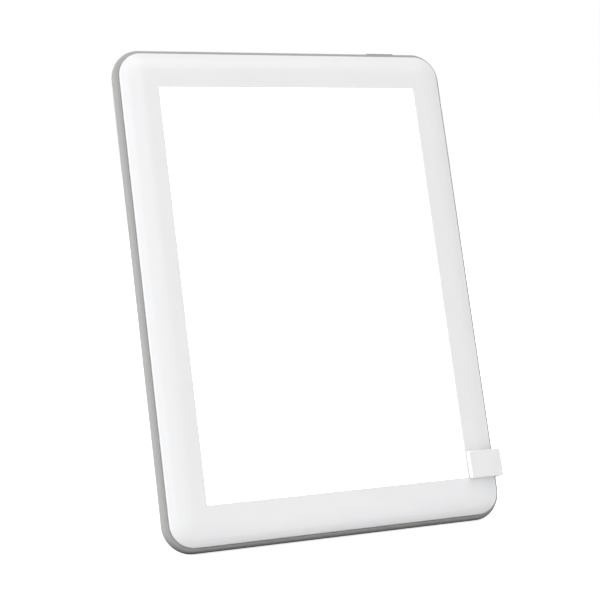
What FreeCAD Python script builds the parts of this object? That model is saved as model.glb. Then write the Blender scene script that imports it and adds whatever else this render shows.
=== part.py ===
import FreeCAD, Part
import math
import os
import re
import Sketcher

# Light therapy lamp: an edge-lit panel in a white bezel and a grey rear shell, on a pull-off
# stand. Each sub-part is drawn in the lamp's own upright frame: X to the right, Y from the
# window plane towards the back, Z up the face, origin at the middle of the window. A placement
# then leans it back, with the world origin under the middle of the foot strip.

Vector = FreeCAD.Vector
X_AXIS = Vector(1, 0, 0)
Y_AXIS = Vector(0, 1, 0)
Z_AXIS = Vector(0, 0, 1)
POINT_TOLERANCE = 1e-4
BEND_SHARE = 0.45

os.makedirs("parts", exist_ok=True)
doc = FreeCAD.newDocument("LightTherapyLamp")
sheet = doc.addObject("Spreadsheet::Sheet", "Sizes")


# ---------------------------------------------------------------- the sheet of sizes

# Driving sizes, in millimetres and degrees
SIZES = {
    # Window and bezel
    "window_width": 128.0,
    "window_height": 187.2,
    "bezel_side_band": 16.4,
    "bezel_end_band": 17.4,
    "bezel_wall": 1.8,
    "skirt_wall": 1.6,
    "skirt_depth": 6.0,
    "crown_height": 1.0,
    "crown_end": 3.9,
    "crown_land": 0.4,
    "crown_edge_round": 1.0,
    "bezel_inner_bevel": 5.2,
    "window_round": 0.2,
    "notch_gap": 0.3,
    "notch_margin": 0.8,

    # Rear cover
    "rim_width": 2.3,
    "seam_gap": 0.2,
    "seam_depth": 4.4,
    "corner_radius": 13.2,
    "cover_front_round": 3.0,
    "cover_back_round": 7.0,
    "cover_wall": 2.0,
    "cover_inner_bevel": 3.0,
    "rib_thickness": 1.2,
    "rib_height": 4.3,
    "rib_pitch": 50.0,
    "rib_first_rise": 28.0,
    "rib_board_gap": 4.0,
    "rib_low_end": 15.0,
    "rib_side_gap": 13.4,

    # Optical stack, from the window plane back
    "panel_overlap": 4.0,
    "panel_gap": 0.3,
    "diffuser_thickness": 2.0,
    "film_thickness": 0.3,
    "guide_overlap": 2.0,
    "guide_thickness": 3.0,
    "reflector_thickness": 0.3,
    "tray_thickness": 1.0,
    "tray_front_gap": 0.1,
    "foam_width": 5.0,
    "foam_end": 6.0,

    # LED strips along the guide's long edges
    "led_count": 24,
    "led_length": 4.0,
    "led_height": 1.6,
    "led_depth": 1.2,
    "led_gap": 0.2,
    "strip_thickness": 1.0,
    "strip_front_gap": 0.2,
    "strip_tail": 5.9,

    # Case screws and their bosses
    "screw_shank": 2.4,
    "screw_fit": 0.1,
    "screw_head": 4.8,
    "screw_head_height": 1.6,
    "screw_recess": 5.2,
    "screw_recess_depth": 2.4,
    "screw_reach": 9.0,
    "pilot_spare": 0.4,
    "boss_diameter": 5.5,
    "cover_boss_diameter": 6.4,
    "boss_joint_depth": 8.0,
    "boss_root_depth": 0.2,
    "boss_side_gap": 0.85,
    "boss_end_gap": 2.35,

    # Control board, behind the tray in the top right corner
    "board_thickness": 1.2,
    "board_length": 54.4,
    "board_side_gap": 3.0,
    "board_drop": 33.0,
    "board_top_gap": 10.0,
    "board_jack_height": 16.0,
    "board_tab_width": 22.0,
    "board_rise": 2.8,
    "board_boss_diameter": 5.0,
    "board_screw_shank": 1.8,
    "board_screw_head": 3.6,
    "board_screw_head_height": 1.4,
    "board_screw_reach": 3.0,
    "board_screw_inset": 4.0,
    "parts_space": 2.2,

    # LED driver parts on the back of the board
    "chip_from_left": 10.0,
    "chip_rise": 6.0,
    "chip_width": 5.0,
    "chip_height": 6.0,
    "chip_thickness": 1.2,
    "inductor_from_left": 19.0,
    "inductor_rise": 4.0,
    "inductor_width": 7.0,
    "inductor_thickness": 1.9,
    "capacitor_from_left": 29.0,
    "capacitor_rise": 2.0,
    "capacitor_width": 3.5,
    "capacitor_height": 2.8,
    "capacitor_thickness": 1.6,
    "capacitor_pitch": 4.6,
    "capacitor_count": 3,

    # Power button and its switch, under the top edge
    "button_inset": 30.1,
    "button_length": 15.4,
    "button_width": 4.0,
    "button_corner": 1.6,
    "button_proud": 0.1,
    "button_travel": 0.5,
    "button_gap": 0.3,
    "button_cap_height": 3.4,
    "button_wing": 0.95,
    "button_wing_height": 1.2,
    "button_bevel": 0.5,
    "button_stem_width": 4.0,
    "button_stem_thickness": 3.0,
    "button_stem_height": 0.8,
    "switch_width": 6.0,
    "switch_thickness": 3.5,
    "switch_height": 3.5,
    "plunger_width": 2.4,
    "plunger_thickness": 1.6,
    "plunger_rise": 1.0,
    "plunger_depth": 1.2,
    "plunger_gap": 0.3,

    # Power inlet on the right edge
    "jack_rise": 7.0,
    "jack_length": 9.0,
    "jack_width": 6.0,
    "jack_height": 4.4,
    "jack_nose": 4.4,
    "jack_nose_root": 1.0,
    "jack_body_gap": 1.2,
    "jack_bore": 3.6,
    "jack_bore_depth": 9.0,
    "jack_pin_diameter": 1.3,
    "jack_pin_recess": 1.0,
    "jack_hole_gap": 0.2,
    "jack_face_inset": 1.0,

    # Keyhole slots for hanging on two wall screws
    "keyhole_spacing": 80.0,
    "keyhole_drop": 65.0,
    "keyhole_entry": 8.4,
    "keyhole_slot": 4.0,
    "keyhole_rise": 8.0,

    # Lean, foot strip and heel
    "lean_angle": 18.0,
    "foot_length": 120.0,
    "foot_width": 6.0,
    "foot_corner": 1.0,
    "foot_thickness": 1.2,
    "foot_proud": 0.25,
    "foot_front": -0.3,
    "heel_margin": 0.5,
    "heel_height": 3.6,

    # Stand: a hook round the right edge, an arm and back plate, and a leg
    "hook_rise": 25.1,
    "hook_height": 12.4,
    "hook_wall": 3.4,
    "lip_wall": 2.8,
    "side_wall": 1.5,
    "hook_gap": 0.6,
    "hook_side_gap": 0.3,
    "hook_round": 9.0,
    "hook_inner_round": 7.0,
    "hook_lip_gap": 0.4,
    "band_bevel": 0.6,
    "pad_proud": 0.3,
    "pad_thickness": 1.0,
    "pad_height": 8.0,
    "pad_length": 9.0,
    "pad_edge": 1.6,
    "plate_pad_x": 14.0,
    "plate_pad_rise": 15.0,
    "plate_width": 52.0,
    "plate_above": 24.0,
    "plate_below": 9.0,
    "plate_flare": 24.0,
    "plate_inset": 1.2,
    "plate_round": 7.0,
    "leg_width": 30.0,
    "leg_thickness": 3.4,
    "gusset_thickness": 2.8,
    "gusset_length": 40.0,
    "gusset_rise": 19.0,
    "gusset_hollow": 55.0,
    "rail_radius": 4.5,
    "rail_proud": 0.3,
    "stand_foot_width": 6.0,
    "stand_foot_length": 26.0,
    "stand_foot_thickness": 1.4,
    "stand_foot_gap": 0.1,

    # Leads
    "lead_width": 2.0,
    "lead_thickness": 0.8,
    "lead_gap": 0.9,
    "connector_length": 6.0,
    "connector_height": 4.4,
    "connector_thickness": 1.7,
    "left_header_from_left": 2.0,
    "right_header_from_left": 22.0,
    "lead_step_run": 4.0,
    "lead_front_depth": 4.2,
}

# Sizes that follow from them
FORMULAS = {
    # Outline of the bezel and the body
    "bezel_width": "window_width + 2 * bezel_side_band",
    "bezel_height": "window_height + 2 * bezel_end_band",
    "bezel_corner": "corner_radius - rim_width",
    "skirt_inner_width": "bezel_width - 2 * skirt_wall",
    "skirt_inner_height": "bezel_height - 2 * skirt_wall",
    "crown_roll": "bezel_corner - crown_land",
    "body_width": "bezel_width + 2 * rim_width",
    "body_height": "bezel_height + 2 * rim_width",
    "cavity_width": "bezel_width + 2 * seam_gap",
    "cavity_height": "bezel_height + 2 * seam_gap",
    "cavity_corner": "bezel_corner + seam_gap",

    # Optical stack, from the window plane back
    "panel_width": "window_width + 2 * panel_overlap",
    "panel_height": "window_height + 2 * panel_overlap",
    "guide_width": "window_width + 2 * guide_overlap",
    "guide_height": "window_height + 2 * guide_overlap",
    "guide_front": "diffuser_thickness + film_thickness",
    "reflector_front": "guide_front + guide_thickness",
    "tray_front": "reflector_front + reflector_thickness",
    "tray_back": "tray_front + tray_thickness",

    # LED strips along the guide's long edges
    "led_face": "guide_width / 2 + led_gap",
    "strip_face": "led_face + led_depth",
    "strip_back": "strip_face + strip_thickness",
    "strip_width": "tray_front - diffuser_thickness - strip_front_gap",
    "tray_width": "2 * (strip_back + tray_thickness)",
    "tray_height": "guide_height + 2 * (panel_gap + tray_thickness)",
    "led_middle_depth": "guide_front + guide_thickness / 2",
    "led_pitch": "(guide_height - 2 * led_length) / (led_count - 1)",

    # Control board, behind the tray in the top right corner
    "board_front": "tray_back + board_rise",
    "board_back": "board_front + board_thickness",
    "board_right": "cavity_width / 2 - board_side_gap",
    "board_left": "board_right - board_length",
    "board_bottom": "body_height / 2 - board_drop",
    "board_main_top": "cavity_height / 2 - board_top_gap",
    "board_jack_top": "board_bottom + board_jack_height",
    "board_screw_hole": "board_screw_shank + screw_fit",
    "chip_x": "board_left + chip_from_left",
    "chip_z": "board_bottom + chip_rise",
    "inductor_x": "board_left + inductor_from_left",
    "inductor_z": "board_bottom + inductor_rise",
    "capacitor_x": "board_left + capacitor_from_left",
    "capacitor_z": "board_bottom + capacitor_rise",

    # Depth of the rear cover, its ribs and keyholes
    "cavity_back": "board_back + parts_space",
    "back_depth": "cavity_back + cover_wall",
    "rib_depth": "cavity_back - rib_height",
    "rib_top": "board_bottom - rib_board_gap",
    "rib_bottom": "rib_low_end - body_height / 2",
    "rib_first_z": "rib_bottom + rib_first_rise",
    "rib_reach": "body_width / 2 - rib_side_gap",
    "keyhole_z": "body_height / 2 - keyhole_drop",

    # Case screws and their bosses
    "boss_x": "strip_back + boss_side_gap + boss_diameter / 2",
    "boss_z": "tray_height / 2 + boss_end_gap + boss_diameter / 2",
    "pilot_hole": "screw_shank + screw_fit",
    "through_hole": "screw_shank + 2 * screw_fit",
    "screw_seat": "back_depth - screw_recess_depth",
    "screw_tip": "screw_seat - screw_reach",

    # Power button and its switch, under the top edge
    "button_x": "body_width / 2 - button_inset",
    "button_top": "body_height / 2 + button_proud",
    "button_base": "button_top - button_cap_height - button_wing_height",
    "plunger_top": "button_base - button_stem_height",
    "switch_top": "plunger_top - plunger_rise",
    "button_depth": "board_front - switch_thickness / 2",
    "board_tab_left": "button_x - board_tab_width / 2",
    "board_tab_right": "button_x + board_tab_width / 2",

    # Power inlet on the right edge, and the notches in the bezel's skirt
    "jack_z": "board_bottom + jack_rise",
    "jack_middle_depth": "board_front - jack_height / 2",
    "jack_face": "body_width / 2 - jack_face_inset",
    "jack_body_end": "cavity_width / 2 - jack_body_gap",
    "notch_depth": "board_front - jack_height - notch_gap",

    # The foot strip's middle in the upright frame: the table touches it a little below the place
    # where the leaning shell's lower rear round comes lowest.
    "foot_drop": "cover_back_round + foot_proud",
    "foot_run": "foot_front + foot_width / 2",
    "rest_y": "back_depth - cover_back_round + foot_drop * sin(lean_angle)"
              " + foot_run * cos(lean_angle)",
    "rest_z": "cover_back_round - body_height / 2 - foot_drop * cos(lean_angle)"
              " + foot_run * sin(lean_angle)",

    # Stand: a hook round the right edge, an arm and back plate, and a leg
    "hook_z": "hook_rise - body_height / 2",
    "hook_front": "-(crown_height + hook_gap + lip_wall)",
    "hook_inner_front": "-(crown_height + hook_gap)",
    "arm_front": "back_depth + hook_gap",
    "arm_back": "arm_front + hook_wall",
    "hook_inner_x": "body_width / 2 + hook_side_gap",
    "hook_outer_x": "hook_inner_x + side_wall",
    "lip_end_x": "window_width / 2 + hook_lip_gap",
    "hook_bottom": "hook_z - hook_height / 2",
    "plate_top_z": "hook_z + plate_above",
    "plate_bottom_z": "hook_z - plate_below",
    "rail_world_z": "rail_radius + rail_proud",
    "rail_y": "rest_y + ((hook_z - rest_z) * cos(lean_angle) - rail_world_z) / sin(lean_angle)",
    "rail_world_y": "(rail_y - rest_y) * cos(lean_angle) + (hook_z - rest_z) * sin(lean_angle)",

    # Leads
    "lead_z": "tray_height / 2 + lead_gap + lead_width / 2",
    "left_header_x": "board_left + left_header_from_left",
    "right_header_x": "board_left + right_header_from_left",
}

for row, (alias, content) in enumerate(list(SIZES.items()) + list(FORMULAS.items()), 1):
    cell = "B%d" % row
    sheet.set("A%d" % row, alias)
    sheet.set(cell, str(content) if alias in SIZES else "=" + content)
    sheet.setAlias(cell, alias)
doc.recompute()


# ---------------------------------------------------------------- drawing helpers

def bound(text):
    """The expression with the sheet's name put before each alias."""
    def with_sheet(match):
        word = match.group(0)
        return "Sizes." + word if word in SIZES or word in FORMULAS else word
    return re.sub(r"[a-z_]+", with_sheet, text)


def value(text):
    """What an expression in the sheet's aliases comes to now."""
    return float(sheet.evalExpression(bound(text)))


def bind(item, target, text):
    """Tie one property of an object to an expression in the sheet's aliases."""
    item.setExpression(target, bound(text))


def new_body(name):
    return doc.addObject("PartDesign::Body", name)


def new_sketch(body, name, role, offset="0"):
    """A sketch on one of the body's own origin planes, moved along its normal."""
    plane = [f for f in body.Origin.OriginFeatures if f.Role == role][0]
    sketch = body.newObject("Sketcher::SketchObject", name)
    sketch.AttachmentSupport = (plane, [""])
    sketch.MapMode = "FlatFace"
    bind(sketch, "AttachmentOffset.Base.z", offset)
    return sketch


def facing_sketch(body, name, depth):
    """A sketch parallel to the lamp's face, at a depth behind the window plane."""
    return new_sketch(body, name, "XZ_Plane", "-(" + depth + ")")


def dimension(sketch, kind, refs, name, text):
    """A driving dimension of a sketch, bound to an expression."""
    index = sketch.addConstraint(Sketcher.Constraint(kind, *refs, value(text)))
    sketch.renameConstraint(index, name)
    bind(sketch, "Constraints." + name, text)


def rounded_rectangle(sketch, width, height, radius):
    """A rounded rectangle centred on the sketch's origin."""
    w = value(width) / 2
    h = value(height) / 2
    r = value(radius)
    corners = ((w - r, -h + r, -90), (w - r, h - r, 0), (-w + r, h - r, 90), (-w + r, -h + r, 180))
    ends = ((-w + r, -h, w - r, -h), (w, -h + r, w, h - r),
            (w - r, h, -w + r, h), (-w, h - r, -w, -h + r))
    for (x0, y0, x1, y1), (cx, cy, start) in zip(ends, corners):
        sketch.addGeometry(Part.LineSegment(Vector(x0, y0, 0), Vector(x1, y1, 0)))
        circle = Part.Circle(Vector(cx, cy, 0), Z_AXIS, r)
        begin = math.radians(start)
        sketch.addGeometry(Part.ArcOfCircle(circle, begin, begin + math.pi / 2))
    for index in range(8):
        sketch.addConstraint(Sketcher.Constraint("Tangent", index, 2, (index + 1) % 8, 1))
    for index in (0, 4):
        sketch.addConstraint(Sketcher.Constraint("Horizontal", index))
        sketch.addConstraint(Sketcher.Constraint("Vertical", index + 2))
    for index in (3, 5, 7):
        sketch.addConstraint(Sketcher.Constraint("Equal", 1, index))
    sketch.addConstraint(Sketcher.Constraint("Symmetric", 1, 3, 5, 3, -1, 1))
    dimension(sketch, "DistanceX", (6, 1, 2, 1), "width", width)
    dimension(sketch, "DistanceY", (0, 1, 4, 1), "height", height)
    dimension(sketch, "Radius", (1,), "corner", radius)


def polygon(sketch, points):
    """A closed outline of straight lines whose corners are pairs of expressions."""
    spots = [Vector(value(x), value(y), 0) for x, y in points]
    count = len(spots)
    for index in range(count):
        sketch.addGeometry(Part.LineSegment(spots[index], spots[(index + 1) % count]))
    for index in range(count):
        refs = ((index - 1) % count, 2, index, 1)
        sketch.addConstraint(Sketcher.Constraint("Coincident", *refs))
    for index, (x, y) in enumerate(points):
        place_point(sketch, index, 1, "corner%d" % index, x, y)


def place_point(sketch, geometry, end, name, x, y):
    """Hold one point of a sketch at two expressions, measured from the origin."""
    for kind, mark, text, axis in (("DistanceX", "x", x, -2), ("DistanceY", "y", y, -1)):
        if text == "0":
            sketch.addConstraint(Sketcher.Constraint("PointOnObject", geometry, end, axis))
        else:
            dimension(sketch, kind, (-1, 1, geometry, end), name + mark, text)


def rectangle(sketch, left, bottom, right, top):
    """An upright rectangle between two pairs of expressions."""
    polygon(sketch, ((left, bottom), (right, bottom), (right, top), (left, top)))


def hole_circle(sketch, x, y, diameter, name):
    """A circle whose centre and diameter are expressions."""
    centre = Vector(value(x), value(y), 0)
    index = sketch.addGeometry(Part.Circle(centre, Z_AXIS, value(diameter) / 2))
    place_point(sketch, index, 3, name, x, y)
    dimension(sketch, "Diameter", (index,), name + "d", diameter)


def pad(body, sketch, length, towards_normal=True):
    """Raise a sketch into a solid; a facing sketch's normal points to the front."""
    feature = body.newObject("PartDesign::Pad", sketch.Name + "Pad")
    feature.Profile = sketch
    feature.Reversed = not towards_normal
    bind(feature, "Length", length)
    doc.recompute()
    return feature


def pocket(body, sketch, length, towards_normal=False):
    """Cut a sketch out of the body's solid, and make sure that it took something away."""
    before = body.Shape.Volume
    feature = body.newObject("PartDesign::Pocket", sketch.Name + "Pocket")
    feature.Profile = sketch
    feature.Reversed = towards_normal
    bind(feature, "Length", length)
    doc.recompute()
    if body.Shape.Volume > before - POINT_TOLERANCE:
        raise RuntimeError(feature.Name + " cuts nothing")
    return feature


def edges_where(shape, test):
    """The names of the edges whose sampled points pass a test."""
    return ["Edge%d" % index for index, edge in enumerate(shape.Edges, 1)
            if test(edge.discretize(5))]


def round_edges(body, test, radius):
    """Fillet the edges of the body's last feature that pass a test."""
    base = body.Tip
    feature = body.newObject("PartDesign::Fillet", base.Name + "Fillet")
    feature.Base = (base, edges_where(base.Shape, test))
    bind(feature, "Radius", radius)
    doc.recompute()
    return feature


def bevel_edges(body, test, width):
    """Chamfer the edges of the body's last feature that pass a test."""
    base = body.Tip
    feature = body.newObject("PartDesign::Chamfer", base.Name + "Chamfer")
    feature.Base = (base, edges_where(base.Shape, test))
    bind(feature, "Size", width)
    doc.recompute()
    return feature


def held_at(spots, axis, text):
    """Whether every point of an edge has the same coordinate, the one that is asked for."""
    goal = value(text)
    return all(abs(getattr(spot, axis) - goal) < POINT_TOLERANCE for spot in spots)


def at_depth(depth):
    """A test for edges that lie at one depth behind the window plane."""
    return lambda spots: held_at(spots, "y", depth)


def at_height(height):
    """A test for edges that lie at one height on the face."""
    return lambda spots: held_at(spots, "z", height)


def straight_along(spots, axis):
    """Whether an edge runs parallel to one axis."""
    others = [name for name in "xyz" if name != axis]
    return all(abs(getattr(spot, name) - getattr(spots[0], name)) < POINT_TOLERANCE
               for spot in spots for name in others)


def facing_slab(name, width, height, corner, front, thickness):
    """A plate parallel to the face, with rounded corners, from its front depth back."""
    body = new_body(name)
    sketch = facing_sketch(body, name + "Outline", front)
    rounded_rectangle(sketch, width, height, corner)
    pad(body, sketch, thickness, towards_normal=False)
    return body


def block(name, left, front, bottom, width, depth, height):
    """A box in the lamp's upright frame, each argument an expression."""
    item = doc.addObject("Part::Box", name)
    bind(item, "Placement.Base.x", left)
    bind(item, "Placement.Base.y", front)
    bind(item, "Placement.Base.z", bottom)
    bind(item, "Length", width)
    bind(item, "Width", depth)
    bind(item, "Height", height)
    return item


def rod(name, axis, x, y, z, diameter, length):
    """A cylinder that starts at a point and runs along an axis."""
    item = doc.addObject("Part::Cylinder", name)
    item.Placement.Rotation = FreeCAD.Rotation(Z_AXIS, axis)
    bind(item, "Placement.Base.x", x)
    bind(item, "Placement.Base.y", y)
    bind(item, "Placement.Base.z", z)
    bind(item, "Radius", "(" + diameter + ") / 2")
    bind(item, "Height", length)
    return item


def fused(name, pieces):
    item = doc.addObject("Part::MultiFuse", name)
    item.Shapes = pieces
    item.Refine = True
    return item


def grouped(name, pieces):
    item = doc.addObject("Part::Compound", name)
    item.Links = pieces
    return item


def cut_away(name, base, tool):
    item = doc.addObject("Part::Cut", name)
    item.Base = base
    item.Tool = tool
    item.Refine = True
    return item


# ---------------------------------------------------------------- how the lamp stands

LEAN = FreeCAD.Rotation(X_AXIS, -value("lean_angle"))
REST = Vector(0, value("rest_y"), value("rest_z"))
LEANING = FreeCAD.Placement(LEAN.multVec(REST).negative(), LEAN)
UPRIGHT = LEANING.inverse()


def level_block(name, width, back, depth, bottom, height):
    """A box that is level with the table, put into the upright frame.

    It is centred on X, starts back behind the world origin and stands on a height."""
    item = doc.addObject("Part::Box", name)
    bind(item, "Length", width)
    bind(item, "Width", depth)
    bind(item, "Height", height)
    corner = Vector(-value(width) / 2, value(back), value(bottom))
    item.Placement = UPRIGHT.multiply(FreeCAD.Placement(corner, FreeCAD.Rotation()))
    return item


# ---------------------------------------------------------------- bezel

def crown_cutter(body, name, width, height, corner, front, roll, end, edge_round):
    """Sweep the bezel's soft edge round its outline.

    The profile is what a broad arc and a small edge arc leave outside the crown."""
    path = facing_sketch(body, name + "Path", end)
    rounded_rectangle(path, width, height, corner)
    profile = new_sketch(body, name + "Profile", "XY_Plane")
    x_out = value(width) / 2
    x_in = x_out - value(roll)
    y_in = value(front)
    y_out = value(end)
    small = value(edge_round)
    run = x_out - x_in
    rise = y_out - y_in
    large = (run * run + rise * rise - 2 * run * small) / (2 * (rise - small))
    crown_centre = Vector(x_in, y_in + large, 0)
    edge_centre = Vector(x_out - small, y_out, 0)
    turn = math.atan2(edge_centre.y - crown_centre.y, edge_centre.x - crown_centre.x)
    crown = Part.ArcOfCircle(Part.Circle(crown_centre, Z_AXIS, large), -math.pi / 2, turn)
    edge = Part.ArcOfCircle(Part.Circle(edge_centre, Z_AXIS, small), turn, 0)
    far_x = x_out + value("crown_height")
    far_y = y_in - value("crown_height")
    profile.addGeometry(crown)
    profile.addGeometry(edge)
    corners = (Vector(x_out, y_out, 0), Vector(far_x, y_out, 0), Vector(far_x, far_y, 0),
               Vector(x_in, far_y, 0), Vector(x_in, y_in, 0))
    for first, second in zip(corners, corners[1:]):
        profile.addGeometry(Part.LineSegment(first, second))
    profile.addConstraint(Sketcher.Constraint("Tangent", 0, 2, 1, 1))
    profile.addConstraint(Sketcher.Constraint("Coincident", 1, 2, 2, 1))
    for index in (2, 3, 4):
        profile.addConstraint(Sketcher.Constraint("Coincident", index, 2, index + 1, 1))
    profile.addConstraint(Sketcher.Constraint("Coincident", 5, 2, 0, 1))
    profile.addConstraint(Sketcher.Constraint("Vertical", 0, 1, 0, 3))
    profile.addConstraint(Sketcher.Constraint("Horizontal", 1, 2, 1, 3))
    for index in (2, 4):
        profile.addConstraint(Sketcher.Constraint("Horizontal", index))
        profile.addConstraint(Sketcher.Constraint("Vertical", index + 1))
    dimension(profile, "DistanceX", (-1, 1, 0, 1), "crown_x", "(%s) / 2 - (%s)" % (width, roll))
    dimension(profile, "DistanceY", (-1, 1, 0, 1), "crown_y", front)
    dimension(profile, "DistanceX", (-1, 1, 1, 2), "edge_x", "(%s) / 2" % width)
    dimension(profile, "DistanceY", (-1, 1, 1, 2), "edge_y", end)
    dimension(profile, "Radius", (1,), "edge_round", edge_round)
    dimension(profile, "DistanceX", (2, 1, 2, 2), "beyond_x", "crown_height")
    dimension(profile, "DistanceY", (5, 1, 5, 2), "beyond_y", "crown_height")
    doc.recompute()
    before = body.Shape.Volume
    sweep = body.newObject("PartDesign::SubtractivePipe", name)
    sweep.Profile = profile
    sweep.Spine = (path, ["Edge%d" % index for index in range(1, 9)])
    doc.recompute()
    if body.Shape.Volume > before - POINT_TOLERANCE:
        raise RuntimeError(name + " cuts nothing")
    return sweep


def window_edge(spots):
    """A test for the front edges of the bezel's window."""
    across = value("(window_width + bezel_side_band) / 2")
    along = value("(window_height + bezel_end_band) / 2")
    inside = all(abs(spot.x) < across and abs(spot.z) < along for spot in spots)
    return inside and held_at(spots, "y", "-crown_height")


def front_bezel():
    """White frame: crowned roof, skirt that nests in the cover, rebate, bosses and notches."""
    outer = facing_slab("BezelOuter", "bezel_width", "bezel_height", "bezel_corner",
                        "-crown_height", "crown_height + skirt_depth")
    crown_cutter(outer, "Crown", "bezel_width", "bezel_height", "bezel_corner",
                 "-crown_height", "crown_roll", "crown_end", "crown_edge_round")
    window = facing_sketch(outer, "Window", "-crown_height")
    rectangle(window, "-window_width / 2", "-window_height / 2",
              "window_width / 2", "window_height / 2")
    pocket(outer, window, "crown_height + skirt_depth")
    round_edges(outer, window_edge, "window_round")

    cavity = facing_slab("BezelCavity", "skirt_inner_width", "skirt_inner_height",
                         "bezel_corner - skirt_wall", "bezel_wall - crown_height",
                         "skirt_depth - bezel_wall + 2 * crown_height")
    bevel_edges(cavity, at_depth("bezel_wall - crown_height"), "bezel_inner_bevel")
    rebate = block("PanelRebate", "-(panel_width / 2 + panel_gap)", "0",
                   "-(panel_height / 2 + panel_gap)", "panel_width + 2 * panel_gap",
                   "bezel_wall", "panel_height + 2 * panel_gap")
    shell = cut_away("BezelRoof", cut_away("BezelShell", outer, cavity), rebate)

    bosses = [rod("BezelBoss%d" % index, Y_AXIS, x, "boss_root_depth", z, "boss_diameter",
                  "boss_joint_depth - boss_root_depth")
              for index, (x, z) in enumerate(case_screw_spots())]
    pilots = [rod("BezelPilot%d" % index, Y_AXIS, x, "screw_tip - pilot_spare", z, "pilot_hole",
                  "boss_joint_depth - screw_tip + 2 * pilot_spare")
              for index, (x, z) in enumerate(case_screw_spots())]
    button_notch = block("ButtonNotch", "button_x - button_length / 2 - button_wing - notch_margin",
                         "notch_depth", "skirt_inner_height / 2 - skirt_wall",
                         "button_length + 2 * (button_wing + notch_margin)",
                         "skirt_depth", "3 * skirt_wall")
    jack_notch = block("JackNotch", "skirt_inner_width / 2 - skirt_wall", "notch_depth",
                       "jack_z - jack_width / 2 - notch_margin", "3 * skirt_wall",
                       "skirt_depth", "jack_width + 2 * notch_margin")
    solid = fused("BezelWithBosses", [shell] + bosses)
    return cut_away("FrontBezel", solid, fused("BezelCuts", pilots + [button_notch, jack_notch]))


def case_screw_spots():
    """Where the case screws stand, one in each corner."""
    return [(x, z) for x in ("boss_x", "-boss_x") for z in ("boss_z", "-boss_z")]


def board_screw_spots():
    """Where the control board is screwed to the cover."""
    return [("board_left + board_screw_inset", "board_bottom + board_screw_inset"),
            ("board_tab_right - board_screw_inset", "board_main_top - board_screw_inset")]


# ---------------------------------------------------------------- rear cover

def keyhole(index, x):
    """An entry hole for a screw head with a narrow slot above it, cut through the back wall."""
    side = "Keyhole%d" % index
    depth = "2 * cover_wall"
    front = "cavity_back - cover_wall / 2"
    entry = rod(side + "Entry", Y_AXIS, x, front, "keyhole_z", "keyhole_entry", depth)
    slot = block(side + "Slot", x + " - keyhole_slot / 2", front, "keyhole_z",
                 "keyhole_slot", depth, "keyhole_rise")
    top = rod(side + "Top", Y_AXIS, x, front, "keyhole_z + keyhole_rise", "keyhole_slot", depth)
    return [entry, slot, top]


def slot_cutter():
    """The opening in the top wall that the button's cap moves in."""
    body = new_body("ButtonSlot")
    sketch = new_sketch(body, "ButtonSlotOutline", "XY_Plane", "cavity_height / 2 - 3 * cover_wall")
    rounded_rectangle(sketch, "button_length + 2 * button_gap", "button_width + 2 * button_gap",
                      "button_corner + button_gap")
    pad(body, sketch, "5 * cover_wall")
    bind(body, "Placement.Base.x", "button_x")
    bind(body, "Placement.Base.y", "button_depth")
    return body


def rear_cover():
    """Grey shell: rounded tray with ribs, screw bosses, heel, keyholes and openings."""
    outer = facing_slab("CoverOuter", "body_width", "body_height", "corner_radius",
                        "seam_depth", "back_depth - seam_depth")
    round_edges(outer, at_depth("seam_depth"), "cover_front_round")
    round_edges(outer, at_depth("back_depth"), "cover_back_round")
    cavity = facing_slab("CoverCavity", "cavity_width", "cavity_height", "cavity_corner",
                         "seam_depth - cover_wall", "cavity_back - seam_depth + cover_wall")
    bevel_edges(cavity, at_depth("cavity_back"), "cover_inner_bevel")
    shell = cut_away("CoverShell", outer, cavity)

    added = [shell]
    for index, x in enumerate(("-rib_pitch", "0", "rib_pitch")):
        added.append(block("UprightRib%d" % index, x + " - rib_thickness / 2", "rib_depth",
                           "rib_bottom", "rib_thickness", "rib_height + cover_wall / 2",
                           "rib_top - rib_bottom"))
    for index in range(3):
        z = "rib_first_z + %d * rib_pitch - rib_thickness / 2" % index
        added.append(block("CrossRib%d" % index, "-rib_reach", "rib_depth", z, "2 * rib_reach",
                           "rib_height + cover_wall / 2", "rib_thickness"))
    for index, (x, z) in enumerate(case_screw_spots()):
        added.append(rod("CoverBoss%d" % index, Y_AXIS, x, "boss_joint_depth", z,
                         "cover_boss_diameter", "cavity_back + cover_wall / 2 - boss_joint_depth"))
    for index, (x, z) in enumerate(board_screw_spots()):
        added.append(rod("BoardBoss%d" % index, Y_AXIS, x, "board_back", z,
                         "board_boss_diameter", "cavity_back + cover_wall / 2 - board_back"))
    added.append(level_block("Heel", "foot_length + 2 * heel_margin",
                             "-foot_width / 2 - heel_margin", "foot_width + 2 * heel_margin",
                             "foot_proud", "heel_height - foot_proud"))

    taken = [slot_cutter()]
    for index, (x, z) in enumerate(case_screw_spots()):
        taken.append(rod("CoverHole%d" % index, Y_AXIS, x, "boss_joint_depth - cover_wall", z,
                         "through_hole", "back_depth"))
        taken.append(rod("CoverRecess%d" % index, Y_AXIS, x, "screw_seat", z,
                         "screw_recess", "back_depth"))
    for index, (x, z) in enumerate(board_screw_spots()):
        taken.append(rod("BoardPilot%d" % index, Y_AXIS, x, "board_front", z, "board_screw_hole",
                         "board_screw_reach + pilot_spare"))
    taken.append(rod("JackHole", X_AXIS, "jack_body_end", "jack_middle_depth", "jack_z",
                     "jack_nose + 2 * jack_hole_gap", "3 * cover_wall"))
    for index, x in enumerate(("-keyhole_spacing / 2", "keyhole_spacing / 2")):
        taken += keyhole(index, x)
    taken.append(level_block("FootRecess", "foot_length", "-foot_width / 2", "foot_width",
                             "-foot_thickness", "2 * foot_thickness"))
    return cut_away("RearCover", fused("CoverBody", added), fused("CoverCuts", taken))


# ---------------------------------------------------------------- optical stack

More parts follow.
